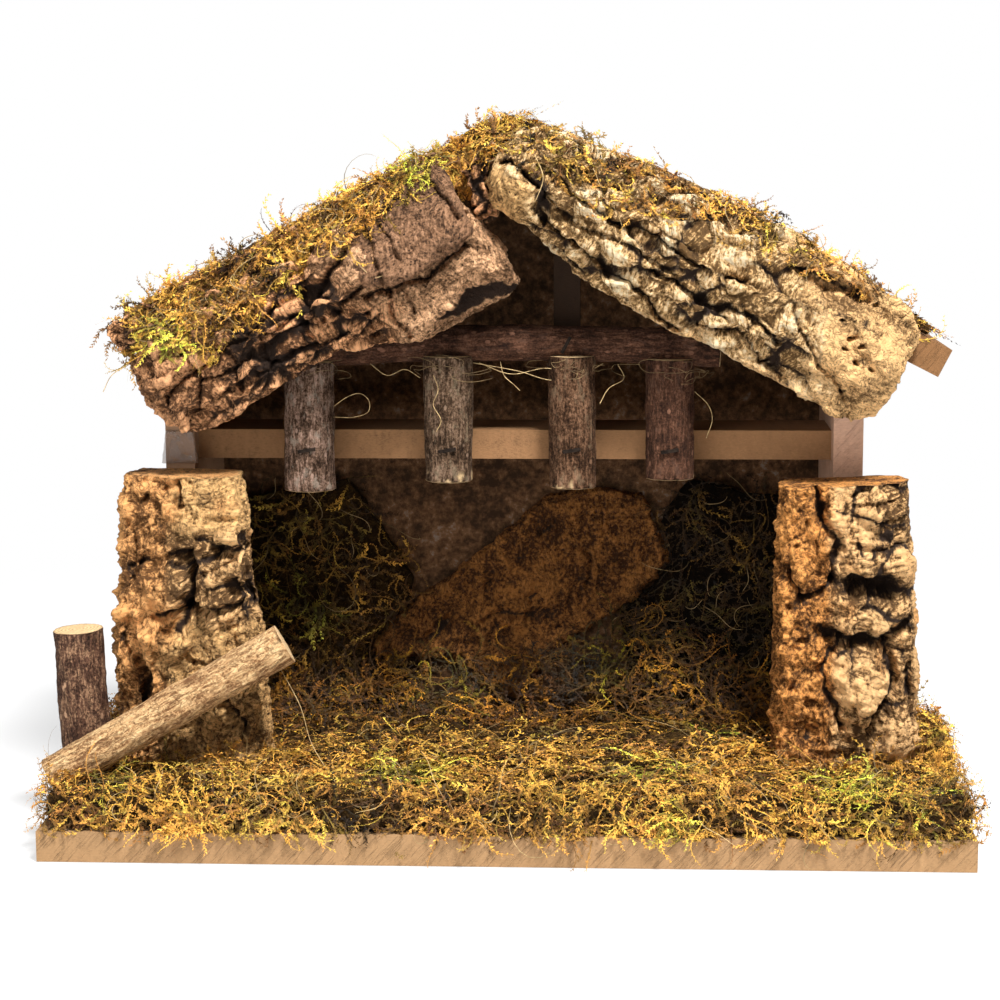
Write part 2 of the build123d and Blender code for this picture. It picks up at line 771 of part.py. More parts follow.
def wall_moss_outline(side):
    """Front outline of a patch of wall moss, from the side wall inwards."""
    edge = wall_inner - MOSS_CLEARANCE
    inner = SLAB_WIDTH / 2 + side * SLAB_X - WALL_MOSS_LAP
    width = edge - inner
    top = wall_moss_foot + WALL_MOSS_HEIGHT
    return [
        (side * edge, wall_moss_foot),
        (side * inner, wall_moss_foot),
        (side * (inner - width * 0.06), wall_moss_foot + WALL_MOSS_HEIGHT * 0.55),
        (side * (inner + width * 0.3), top),
        (side * (edge - width * 0.12), top - WALL_MOSS_HEIGHT * 0.08),
        (side * edge, top - WALL_MOSS_HEIGHT * 0.3),
    ]


def draw_wall_moss(side):
    """Adds one patch of wall moss to the part that is being built, clear of the slab."""
    with BuildSketch(front_plane(panel_front)) as patch:
        with BuildLine():
            Polyline(*wall_moss_outline(side), close=True)
        make_face()
        offset(slab_face.sketch_local, MOSS_CLEARANCE, mode=Mode.SUBTRACT)
    extrude(patch.sketch, amount=WALL_MOSS)


with BuildPart() as left_wall_moss:
    draw_wall_moss(-1)

with BuildPart() as right_wall_moss:
    draw_wall_moss(1)


def draw_roof_moss(side, run):
    """Adds the mat of moss on one roof board to the part that is being built."""
    slope = run / cos(pitch)
    down_slope = Vector(side * cos(pitch), 0, -sin(pitch))
    up = Vector(side * sin(pitch), 0, cos(pitch))
    middle = Vector(0, (roof_front + roof_rear) / 2, ridge_height) + down_slope * (slope / 2)
    with BuildSketch(Plane(origin=middle, x_dir=down_slope, z_dir=up)) as mat:
        Rectangle(slope - 2 * ROOF_MOSS_INSET, roof_rear - roof_front - 2 * ROOF_MOSS_INSET)
    extrude(mat.sketch, amount=ROOF_MOSS, taper=MOSS_TAPER)


with BuildPart() as left_roof_moss:
    draw_roof_moss(-1, left_run)

with BuildPart() as right_roof_moss:
    draw_roof_moss(1, right_run)

# Hot glue smeared over the left wall's front edge above the pillar
glue_foot = BOARD + left_pillar_height
with BuildPart() as wall_glue:
    with BuildSketch(front_plane(wall_front)):
        with BuildLine():
            Polyline(
                (-wall_outer - GLUE_OVERLAP, glue_foot),
                (-wall_inner + GLUE_OVERLAP, glue_foot),
                (-wall_inner, glue_foot + GLUE_HEIGHT),
                (-wall_outer, glue_foot + GLUE_HEIGHT),
                close=True,
            )
        make_face()
    extrude(amount=GLUE_THICKNESS, taper=20)

# Bead of hot glue that holds the leaning log's head to the pillar
bead_centre = log_head - log_along * (LOG_DIAMETER / 2) + Vector(0, LOG_DIAMETER / 2, -LOG_DIAMETER / 4)
with BuildPart() as log_glue:
    with Locations(bead_centre):
        Sphere(GLUE_BEAD / 2)
    add(leaning_log.part, mode=Mode.SUBTRACT)
    add(left_bark_pillar.part, mode=Mode.SUBTRACT)

pieces = [
    ("base_board", base_board),
    ("left_wall", left_wall),
    ("right_wall", right_wall),
    ("back_panel", back_panel),
    ("cross_rail", cross_rail),
    ("king_post", king_post),
    ("left_roof_board", left_roof_board),
    ("right_roof_board", right_roof_board),
    ("lintel_branch", lintel_branch),
    *hanging_stubs,
    ("standing_stump", standing_stump),
    ("leaning_log", leaning_log),
    ("left_bark_fascia", left_bark_fascia),
    ("left_bark_shell", left_bark_shell),
    ("right_bark_fascia", right_bark_fascia),
    ("ridge_bark_chip", ridge_bark_chip),
    ("left_eave_chip", left_eave_chip),
    ("left_bark_pillar", left_bark_pillar),
    ("right_bark_pillar", right_bark_pillar),
    ("back_bark_slab", back_bark_slab),
    ("ground_moss", ground_moss),
    ("left_wall_moss", left_wall_moss),
    ("right_wall_moss", right_wall_moss),
    ("left_roof_moss", left_roof_moss),
    ("right_roof_moss", right_roof_moss),
    ("lintel_staples", lintel_staples),
    ("panel_staples", panel_staples),
    ("base_brads", base_brads),
    ("roof_brads", roof_brads),
    ("rail_brads", rail_brads),
    ("wall_glue", wall_glue),
    ("log_glue", log_glue),
]
os.makedirs("parts", exist_ok=True)
for label, piece in pieces:
    piece.part.label = label
    export_step(piece.part, f"parts/{label}.step")
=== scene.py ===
"""Rustic nativity stable: fibreboard house dressed with cork bark, branch wood and dried moss."""

import math
from dataclasses import dataclass

import bmesh
import bpy
import numpy as np
from mathutils import Matrix, Vector


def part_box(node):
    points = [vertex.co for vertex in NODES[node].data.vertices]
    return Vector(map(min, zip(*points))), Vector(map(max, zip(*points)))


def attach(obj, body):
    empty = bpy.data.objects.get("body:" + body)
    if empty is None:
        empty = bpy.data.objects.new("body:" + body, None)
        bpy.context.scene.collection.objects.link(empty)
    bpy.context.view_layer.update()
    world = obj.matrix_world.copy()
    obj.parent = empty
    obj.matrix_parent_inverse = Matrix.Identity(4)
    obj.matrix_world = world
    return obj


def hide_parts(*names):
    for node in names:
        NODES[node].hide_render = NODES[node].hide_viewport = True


bl_info = {
    "name": "Nativity Stable",
    "version": (1, 0, 0),
    "blender": (4, 5, 0),
    "location": "View3D > Sidebar > Stable",
    "description": "Dresses the packed stable with cork bark, branches, moss, glue and a studio stage",
    "category": "Object",
}

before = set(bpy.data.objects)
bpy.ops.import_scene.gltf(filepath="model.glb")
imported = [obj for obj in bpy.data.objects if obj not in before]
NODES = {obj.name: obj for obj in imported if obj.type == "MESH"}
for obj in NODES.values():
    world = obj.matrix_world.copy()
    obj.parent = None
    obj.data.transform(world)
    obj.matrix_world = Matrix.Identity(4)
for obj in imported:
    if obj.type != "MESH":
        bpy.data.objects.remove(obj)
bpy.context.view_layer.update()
MM = 0.001

# Noise on arrays of points


def lattice(cells, seed):
    """A steady number from 0 to 1 for every whole-numbered point."""
    whole = cells.astype(np.int64)
    mixed = whole[..., 0] * 374761393 + whole[..., 1] * 668265263 + whole[..., 2] * 1440662683 + seed * 974711
    mixed = mixed & 0xFFFFFFFF
    mixed = ((mixed ^ (mixed >> 13)) * 1274126177) & 0xFFFFFFFF
    mixed = ((mixed ^ (mixed >> 16)) * 2246822519) & 0xFFFFFFFF
    return ((mixed ^ (mixed >> 15)) & 0xFFFFFF) / float(0xFFFFFF)


def smooth_noise(points, seed):
    """Smooth value noise from -1 to 1."""
    corner = np.floor(points)
    part = points - corner
    part = part * part * (3 - 2 * part)
    total = np.zeros(len(points))
    for dx in (0, 1):
        wx = part[:, 0] if dx else 1 - part[:, 0]
        for dy in (0, 1):
            wy = part[:, 1] if dy else 1 - part[:, 1]
            for dz in (0, 1):
                wz = part[:, 2] if dz else 1 - part[:, 2]
                total += wx * wy * wz * lattice(corner + (dx, dy, dz), seed)
    return total * 2 - 1


def rough_noise(points, seed, octaves=4, gain=0.5):
    """Several octaves of smooth noise, about -1 to 1."""
    total = np.zeros(len(points))
    size = 1.0
    for octave in range(octaves):
        total += size * smooth_noise(points * 2.03**octave + 17.1 * octave, seed + octave)
        size *= gain
    return total * (1 - gain) / (1 - gain**octaves)


def ridged_noise(points, seed, octaves=4, gain=0.55):
    """Noise with sharp crests, about -1 to 1."""
    total = np.zeros(len(points))
    size = 1.0
    for octave in range(octaves):
        total += size * (1 - 3.2 * np.abs(smooth_noise(points * 2.1**octave + 9.7 * octave, seed + octave)))
        size *= gain
    return total * (1 - gain) / (1 - gain**octaves)


def plates(points, seed):
    """Cracked plates: distance to the nearest crack and to the plate's heart, and a number for each plate."""
    corner = np.floor(points)
    nearest = np.full(len(points), 9.0)
    second = np.full(len(points), 9.0)
    name = np.zeros(len(points))
    for dx in (-1, 0, 1):
        for dy in (-1, 0, 1):
            for dz in (-1, 0, 1):
                cell = corner + (dx, dy, dz)
                heart = cell + np.stack([lattice(cell, seed + k) for k in (1, 2, 3)], axis=1)
                gap = np.linalg.norm(points - heart, axis=1)
                closer = gap < nearest
                second = np.where(closer, nearest, np.minimum(second, gap))
                name = np.where(closer, lattice(cell, seed + 4), name)
                nearest = np.where(closer, gap, nearest)
    return second - nearest, nearest, name


def ease(low, high, value):
    """0 below low, 1 above high, smooth between."""
    part = np.clip((value - low) / (high - low), 0, 1)
    return part * part * (3 - 2 * part)


# Meshes


def node_arrays(mesh):
    """Vertices and vertex normals of a mesh as arrays."""
    points = np.empty(len(mesh.vertices) * 3)
    mesh.vertices.foreach_get("co", points)
    normals = np.empty(len(mesh.vertices) * 3)
    mesh.vertices.foreach_get("normal", normals)
    return points.reshape(-1, 3), normals.reshape(-1, 3)


def set_points(mesh, points):
    """Moves a mesh's vertices."""
    mesh.vertices.foreach_set("co", points.astype(np.float32).ravel())
    mesh.update()


def set_value(mesh, name, values):
    """Keeps one number for each vertex."""
    mesh.attributes.new(name, "FLOAT", "POINT").data.foreach_set("value", values.astype(np.float32))


def set_vector(mesh, name, values):
    """Keeps one vector for each vertex."""
    made = mesh.attributes.new(name, "FLOAT_VECTOR", "POINT")
    made.data.foreach_set("vector", values.astype(np.float32).ravel())


def set_colour(mesh, name, values):
    """Keeps one colour for each vertex."""
    made = mesh.color_attributes.new(name, "FLOAT_COLOR", "POINT")
    rgba = np.ones((len(values), 4), dtype=np.float32)
    rgba[:, :3] = values
    made.data.foreach_set("color", rgba.ravel())


def show(mesh, name, material, nodes=()):
    """A piece of the stable that rides on the stable's one body."""
    piece = bpy.data.objects.new(name, mesh)
    bpy.context.scene.collection.objects.link(piece)
    mesh.materials.clear()
    mesh.materials.append(material)
    mesh.polygons.foreach_set("use_smooth", np.ones(len(mesh.polygons), dtype=bool))
    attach(piece, "root")
    if nodes:
        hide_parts(*nodes)


def remeshed(node, voxel, smoothing):
    """A fine even copy of a CAD node's mesh, its facets smoothed away."""
    work = bpy.data.objects.new(node + "_work", NODES[node].data.copy())
    bpy.context.scene.collection.objects.link(work)
    fine = work.modifiers.new("fine", "REMESH")
    fine.mode = "VOXEL"
    fine.voxel_size = voxel
    soft = work.modifiers.new("soft", "SMOOTH")
    soft.factor = 0.5
    soft.iterations = smoothing
    graph = bpy.context.evaluated_depsgraph_get()
    mesh = bpy.data.meshes.new_from_object(work.evaluated_get(graph))
    rough = work.data
    bpy.data.objects.remove(work)
    bpy.data.meshes.remove(rough)
    mesh.name = node
    return mesh


def tube_faces(rows):
    """Four-cornered faces between rows of points that run round a tube."""
    turned = np.roll(rows, -1, 1)
    return np.stack([rows[:-1], turned[:-1], turned[1:], rows[1:]], axis=-1).reshape(-1, 4)


def mesh_from(name, points, faces):
    """A mesh from arrays of points and faces with equal corner counts."""
    mesh = bpy.data.meshes.new(name)
    count, corners = faces.shape
    mesh.vertices.add(len(points))
    mesh.vertices.foreach_set("co", points.astype(np.float32).ravel())
    mesh.loops.add(count * corners)
    mesh.loops.foreach_set("vertex_index", faces.astype(np.int32).ravel())
    mesh.polygons.add(count)
    mesh.polygons.foreach_set("loop_start", np.arange(0, count * corners, corners, dtype=np.int32))
    mesh.update(calc_edges=True)
    return mesh


# Materials


class Value:
    """A socket in a node tree. Sums on it add Math nodes."""

    def __init__(self, look, socket):
        self.look = look
        self.socket = socket

    def _math(self, operation, first, second):
        return self.look.node("ShaderNodeMath", {"operation": operation}, {0: first, 1: second})

    def __add__(self, other):
        return self._math("ADD", self, other)

    def __radd__(self, other):
        return self._math("ADD", other, self)

    def __sub__(self, other):
        return self._math("SUBTRACT", self, other)

    def __rsub__(self, other):
        return self._math("SUBTRACT", other, self)

    def __mul__(self, other):
        return self._math("MULTIPLY", self, other)

    def __rmul__(self, other):
        return self._math("MULTIPLY", other, self)


class Nodes:
    """A node tree that is being put together."""

    def __init__(self, owner):
        owner.use_nodes = True
        self.tree = owner.node_tree
        self.tree.nodes.clear()

    def node(self, kind, settings, sockets, out=0):
        """A node of one kind with its settings and its sockets' values or links."""
        made = self.tree.nodes.new(kind)
        for name, value in settings.items():
            if name == "stops":
                ramp = made.color_ramp
                while len(ramp.elements) < len(value):
                    ramp.elements.new(0.5)
                for element, (place, colour) in zip(ramp.elements, value):
                    element.position = place
                    element.color = (*colour, 1)
            else:
                setattr(made, name, value)
        for key, value in sockets.items():
            self.put(made.inputs[key], value)
        return Value(self, made.outputs[out]) if made.outputs else None

    def put(self, socket, value):
        """Sets a socket's value or links it."""
        if isinstance(value, Value):
            self.tree.links.new(value.socket, socket)
        elif socket.type == "RGBA" and len(value) == 3:
            socket.default_value = (*value, 1)
        else:
            socket.default_value = value

    def shown(self):
        """1 for the rays that show a background: seen by the camera, mirrored or through glass."""
        most = self.node("ShaderNodeLightPath", {}, {}, "Is Camera Ray")
        for kind in ("Is Glossy Ray", "Is Transmission Ray"):
            ray = self.node("ShaderNodeLightPath", {}, {}, kind)
            most = self.node("ShaderNodeMath", {"operation": "MAXIMUM"}, {0: most, 1: ray})
        return most


class Look(Nodes):
    """A material that is being put together."""

    def __init__(self, name):
        self.material = bpy.data.materials.new(name)
        super().__init__(self.material)

    def attribute(self, name, out=2):
        """A number kept on the vertices (out 2), a vector (1) or a colour (0)."""
        return self.node("ShaderNodeAttribute", {"attribute_name": name}, {}, out)

    def place(self):
        """The place on the object, in metres."""
        return self.node("ShaderNodeTexCoord", {}, {}, 3)

    def stretch(self, vector, scale):
        """A vector with each axis multiplied."""
        return self.node("ShaderNodeVectorMath", {"operation": "MULTIPLY"}, {0: vector, 1: scale})

    def noise(self, vector, scale, detail=4.0, roughness=0.55, distortion=0.0):
        """Noise from 0 to 1."""
        sockets = {"Vector": vector, "Scale": scale, "Detail": detail, "Roughness": roughness}
        return self.node("ShaderNodeTexNoise", {}, {**sockets, "Distortion": distortion})

    def cells(self, vector, scale):
        """Distance to the nearest of many scattered points."""
        return self.node("ShaderNodeTexVoronoi", {}, {"Vector": vector, "Scale": scale})

    def size(self, value):
        """A number without its sign."""
        return self.node("ShaderNodeMath", {"operation": "ABSOLUTE"}, {0: value})

    def parts(self, vector):
        """The x, y and z of a vector."""
        return [self.node("ShaderNodeSeparateXYZ", {}, {0: vector}, k) for k in range(3)]

    def joined(self, x, y, z):
        """A vector from its x, y and z."""
        return self.node("ShaderNodeCombineXYZ", {}, {0: x, 1: y, 2: z})

    def step(self, value, low, high):
        """0 below low, 1 above high, smooth between."""
        settings = {"interpolation_type": "SMOOTHSTEP"}
        return self.node("ShaderNodeMapRange", settings, {0: value, 1: low, 2: high, 3: 0.0, 4: 1.0})

    def mix(self, share, first, second):
        """One colour turned into another by a share from 0 to 1."""
        return self.node("ShaderNodeMix", {"data_type": "RGBA"}, {0: share, 6: first, 7: second}, 2)

    def ramp(self, value, *stops):
        """Colours along a value."""
        return self.node("ShaderNodeValToRGB", {"stops": stops}, {0: value})

    def bump(self, height, depth, below=None):
        """Small relief of a depth in metres, on top of the relief below."""
        sockets = {"Height": height, "Distance": depth, "Strength": 1.0}
        if below:
            sockets["Normal"] = below
        return self.node("ShaderNodeBump", {}, sockets)

    def surface(self, **sockets):
        """The material's own shader, fed by the sockets' names."""
        named = {name.replace("_", " "): value for name, value in sockets.items()}
        return self.node("ShaderNodeBsdfPrincipled", {}, named)

    def done(self, shader=None, **sockets):
        """Ends the material in a shader, or in its own one, and gives the material back."""
        self.node("ShaderNodeOutputMaterial", {}, {0: shader or self.surface(**sockets)})
        return self.material


def dimmed(tint, level):
    """A colour with every channel multiplied."""
    return tuple(min(1, channel * level) for channel in tint)


def shades(tint, *levels):
    """Darker and lighter copies of a colour. The darker ones are made warmer, painted warm light in shade,
    and the lighter ones paler, painted highlight.
    """
    levels = np.minimum(levels, 0.95 / max(tint))
    return [tuple(channel * level**power for channel, power in zip(tint, (1, 1.1, 1.25))) for level in levels]


def shade(tint, level):
    """One darker or lighter copy of a colour."""
    return shades(tint, level)[0]


# Settings


def number(name, description, default, unit="LENGTH"):
    """A size or a power that the user can set."""
    return bpy.props.FloatProperty(
        name=name, description=description, default=default, unit=unit, precision=5
    )


def colour(name, description, default):
    """A colour that the user can set."""
    return bpy.props.FloatVectorProperty(
        name=name, description=description, default=default, size=3, subtype="COLOR", min=0, max=1
    )


class StableBarkSettings(bpy.types.PropertyGroup):
    """Sizes and colours of the bark and branch wood"""

    grain: number("Grain", "Size of the bark mesh's faces", 0.65 * MM)
    furrow: number("Furrow depth", "Depth of the cracks between bark plates", 3.4 * MM)
    ridge_tint: colour("Ridge", "Pale crests of the right-hand bark", (0.90, 0.60, 0.295))
    brown_tint: colour("Brown bark", "Body of the left-hand bark", (0.43, 0.2, 0.083))
    cork_tint: colour("Cork", "Raw cork of broken ends", (0.78, 0.46, 0.18))
    skin_tint: colour("Skin", "Smooth skin of the curled bark", (0.29, 0.165, 0.08))
    # The crack colour is also the painted shade in the bark's hollows.
    crack_shade_tint: colour("Cracks", "Bottoms of the cracks", (0.03, 0.015, 0.008))
    pillar_tint: colour("Pillar cork", "Raw cork of the pillars", (0.52, 0.215, 0.052))
    twig_tint: colour("Twig bark", "Bark of the branch pieces", (0.070, 0.040, 0.022))


class StableMossSettings(bpy.types.PropertyGroup):
    """Sizes and colours of the dried moss"""

    frond: number("Frond length", "Usual length of one moss frond", 9.5 * MM)
    leaf: number("Leaflet length", "Length of a frond's side leaflets", 0.85 * MM)
    gold_tint: colour("Gold", "Dry golden fronds", (0.69, 0.335, 0.055))
    brown_tint: colour("Brown", "Dead brown fronds", (0.25, 0.105, 0.024))
    olive_tint: colour("Olive", "Dull green fronds", (0.43, 0.27, 0.045))
    green_tint: colour("Green", "Fresh yellow-green fronds", (0.36, 0.34, 0.04))
    straw_tint: colour("Straw", "Bare dry stems", (0.55, 0.38, 0.17))


class StableBoardSettings(bpy.types.PropertyGroup):
    """Colours of the boards, glue and wire"""

    raw_tint: colour("Raw board", "Sawn fibreboard", (0.35, 0.205, 0.096))
    panel_tint: colour("Back panel", "Dark back panel", (0.085, 0.042, 0.019))
    # The staples and brads are made near black: painted shade in the slits under the thin wire.
    wire_shade_tint: colour("Wire", "Staples and brads", (0.022, 0.015, 0.011))
    glue_tint: colour("Glue", "Clear hot glue", (0.26, 0.17, 0.12))


class StableStageSettings(bpy.types.PropertyGroup):
    """The camera, floor and lamps"""

    lens: number("Lens", "Focal length", 86.35, "CAMERA")
    floor_tint: colour("Floor", "Pale studio floor", (0.86, 0.86, 0.86))
    key_power: number("Key", "Power of the main lamp", 38.0, "POWER")
    fill_power: number("Fill", "Power of the front lamp", 5.5, "POWER")


# Boards


def board_look(name, tint, dark, marks=0.0):
    """Raw fibreboard: felted fibres, slanting saw marks and soft stains."""
    look = Look(name)
    place = look.place()
    x, y, z = look.parts(place)
    slant = look.joined((x + y - z * 0.9) * 1300, z * 110, (x - y) * 60)
    scratch = look.step(look.noise(slant, 1.0, 3, 0.6, 0.3), 0.44, 0.36)
    felt = look.noise(look.stretch(place, (1, 1, 2.2)), 900, 5, 0.7)
    blotch = look.noise(place, 42, 4, 0.6)
    saw = look.noise(look.stretch(place, (1, 0.12, 0.6)), 420, 3, 0.6, 0.4)
    stops = ((0.38, 0.45), (0.52, 0.85), (0.66, 1.0), (0.82, 1.28))
    tone = look.ramp(
        felt * 0.5 + saw * 0.3 + blotch * 0.35, *((spot, dimmed(tint, level)) for spot, level in stops)
    )
    stain = look.step(look.noise(place, 16, 3), 0.62, 0.8)
    stained = look.mix(stain * dark, tone, dimmed(tint, 0.3))
    scored = look.mix(scratch * look.step(blotch, 0.4, 0.6) * marks, stained, dimmed(tint, 0.22))
    relief = look.bump(felt * 0.6 + saw * 0.4 - scratch * marks, 0.25 * MM)
    return look.done(Base_Color=scored, Roughness=0.86, Specular_IOR_Level=0.2, Normal=relief)


def panel_look(tint):
    """Dark mottled board of the back panel."""
    look = Look("dark_panel")
    place = look.place()
    speck = look.noise(place, 260, 5, 0.75)
    cloud = look.noise(place, 45, 4, 0.6)
    tone = look.ramp(
        speck * 0.7 + cloud * 0.3,
        (0.41, dimmed(tint, 0.35)),
        (0.5, tint),
        (0.57, dimmed(tint, 1.8)),
        (0.65, (tint[0] * 2.6, tint[0] * 2.0, tint[0] * 1.55)),
    )
    relief = look.bump(speck, 0.5 * MM)
    return look.done(Base_Color=tone, Roughness=0.9, Specular_IOR_Level=0.15, Normal=relief)


# Name, cast of the raw board's tint, share of dark stains, share of saw marks, and the boards that have it
BOARD_FINISHES = (
    ("raw", (1, 1, 1), 0.25, 0.4, ("base_board",)),
    ("roof", (0.6, 0.5, 0.42), 0.5, 0.3, ("left_roof_board", "right_roof_board")),
    ("greyed", (1.6, 1.68, 2.45), 0.45, 0.3, ("right_wall",)),
    ("stained", (0.9, 0.9, 1.1), 0.45, 0.0, ("left_wall",)),
    ("sanded", (0.8, 0.7, 0.66), 0.3, 0.0, ("cross_rail",)),
    # The king post is made nearly black: painted shade between the fascias under the ridge.
    ("aged", (0.075, 0.06, 0.055), 0.5, 0.0, ("king_post",)),
)


class STABLE_OT_boards(bpy.types.Operator):
    """Finishes the fibreboard pieces of the house"""

    bl_idname = "stable.boards"
    bl_label = "Boards"

    def execute(self, context):
        boards = context.scene.stable_boards
        tint = np.array(boards.raw_tint)
        for name, cast, dark, marks, nodes in BOARD_FINISHES:
            finish = board_look(name + "_fibreboard", tuple(tint * cast), dark, marks)
            for node in nodes:
                NODES[node].data.materials[0] = finish
                if node != "king_post":
                    self.wear(NODES[node])
        NODES["back_panel"].data.materials[0] = panel_look(tuple(boards.panel_tint))
        return {"FINISHED"}

    def wear(self, board):
        """Takes the sharpness off a board's edges."""
        worn = board.modifiers.new("worn_edges", "BEVEL")
        worn.width = 0.45 * MM
        worn.segments = 2
        worn.limit_method = "ANGLE"


class STABLE_OT_fasteners(bpy.types.Operator):
    """Finishes the staples and brads"""

    bl_idname = "stable.fasteners"
    bl_label = "Staples and brads"

    def execute(self, context):
        # Near-black wire: painted shade under the staples and brads.
        tint = tuple(context.scene.stable_boards.wire_shade_tint)
        look = Look("wire")
        grime = look.noise(look.place(), 700, 3)
        tone = look.ramp(grime, (0.35, dimmed(tint, 0.35)), (0.6, tint))
        wire = look.done(Base_Color=tone, Specular_IOR_Level=0.05, Roughness=grime * 0.4 + 0.5)
        for node in ("lintel_staples", "panel_staples", "base_brads", "roof_brads", "rail_brads"):
            NODES[node].data.materials[0] = wire
        return {"FINISHED"}


# Bark

PITCH = math.radians(27)
# Where the roof boards' tops meet at the front
RIDGE = np.array((0.0, -0.008, 0.234))
BASE_TOP = 10 * MM
# Where the middles of the upright pieces of bark lie, from left to right
LEFT_PILLAR_MIDDLE = -108.2 * MM
RIGHT_PILLAR_MIDDLE = 113.4 * MM
SLAB_MIDDLE = -1 * MM


def slope_axes(side):
    """Start and axes down the slope, up out of the roof and to the front, for one side's bark."""
    along = np.array((side * math.cos(PITCH), 0, -math.sin(PITCH)))
    up = np.array((side * math.sin(PITCH), 0, math.cos(PITCH)))
    return RIDGE, np.stack([along, up, np.array((0.0, -1.0, 0.0))])


def upright_axes(node, middle):
    """Start and axes up, across and to the front, for a piece of bark that stands upright."""
    low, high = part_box(node)
    start = np.array((middle, high[1], low[2]))
    return start, np.array(((0.0, 0, 1), (1.0, 0, 0), (0.0, -1, 0)))


def nowhere(grain, noise):
    """A share of 0 all over."""
    return np.zeros(len(grain))


def everywhere(grain, noise):
    """A share of 1 all over."""
    return np.ones(len(grain))


@dataclass
class BarkPlan:
    """How one piece of bark is carved. raw and calm say where it is raw cork or smooth skin, ragged how far
    its edges wander, sides how much of the relief its side faces get, strokes list (half width, height,
    places along and across) of cracks and lumps in mm, crust is the depth of its small flakes, or of small
    creases where it is below 0, and notch gives where the front lip is broken off:
    from and to along, the top of its arch across, the arch's rise and what depth is left, in mm.
    sawn is how far the saw cut of the top lies under the solid's top at either side, in mm, and trim gives
    places along and how far across the piece reaches at each. flaky is how much its raw cork breaks into
    ledges instead of grains."""

    node: str
    axes: tuple
    look: str
    size: tuple
    seed: int
    furrow: float = 3.0 * MM
    crust: float = 0.6 * MM
    lump: float = 1.5 * MM
    raw: object = nowhere
    calm: object = nowhere
    ragged: float = 1.6 * MM
    sides: float = 0.6
    strokes: tuple = ()
    notch: tuple = ()
    sawn: tuple = ()
    trim: tuple = ()
    flaky: float = 0.0


def plate_relief(bent, size, seed, furrow):
    """Height of cracked plates in metres, how far each place is from the dark of cracks and chip lines
    (partly the bark's own crack colour, partly painted shade), and a tone for each plate.
    """
    edge, _, tone = plates(bent / (size[0], size[1], size[1]), seed)
    gap = edge * size[1] * 0.5
    opened = ease(-0.45, 0.2, smooth_noise(bent / 0.017, seed + 41))
    crack = np.exp(-((gap / (0.75 * MM)) ** 2)) * (0.3 + 0.7 * opened)
    dome = 1 - np.exp(-gap / (0.24 * size[1]))
    chip_edge, _, chip_tone = plates(bent / (size[0] * 0.42, size[1] * 0.36, size[1] * 0.36), seed + 50)
    chip_gap = chip_edge * size[1] * 0.18
    chip = np.exp(-((chip_gap / (0.4 * MM)) ** 2)) * ease(-0.2, 0.5, smooth_noise(bent / 0.011, seed + 43))
    height = furrow * (dome * (0.5 + 0.75 * tone) - 0.55 - 0.5 * crack)
    height += furrow * (0.16 * (chip_tone - 0.5) - 0.14 * chip)
    return height, np.clip(1 - crack - 0.45 * chip, 0, 1), tone


def cork_relief(grain, bent, seed, flaky):
    """Height of raw cork in metres, and how far each place is from the dark of its pits (partly the cork's
    own dark pores, partly painted shade) and from the painted shade of its flake hollows and torn seams.
    """
    flakes = ridged_noise(grain / (0.011, 0.008, 0.008), seed + 70, 5, 0.6) * (1 - 0.55 * flaky)
    _, near, name = plates(grain / 0.0042, seed + 75)
    pit = (name > 0.74 + 0.14 * flaky) * np.exp(-((near * 4.2 / 0.7) ** 2))
    seam, _, ledge = plates(bent / (0.008, 0.0055, 0.0055), seed + 78)
    torn = flaky * np.exp(-((seam * 2.8 / 0.3) ** 2)) * ease(-0.1, 0.5, smooth_noise(bent / 0.007, seed + 79))
    height = MM * (2.3 * flakes - 1.8 * pit + flaky * 1.9 * (ledge - 0.5))
    return height, np.clip(1 - pit - 0.7 * ease(0.3, 0.8, -flakes) - 0.7 * torn, 0, 1)


def stroke_reach(flat, path):
    """Distance in mm from places to a line through path."""
    best = np.full(len(flat), 1e6)
    for first, last in zip(path, path[1:] or path):
        way = np.subtract(last, first)
        share = np.clip((flat - first) @ way / max(way @ way, 1e-9), 0, 1)
        best = np.minimum(best, np.linalg.norm(flat - first - share[:, None] * way, axis=1))
    return best


# What a bark mesh keeps on its vertices for the material, beside its grain
BARK_VALUES = ("solid", "tone", "calm", "raw", "lift")


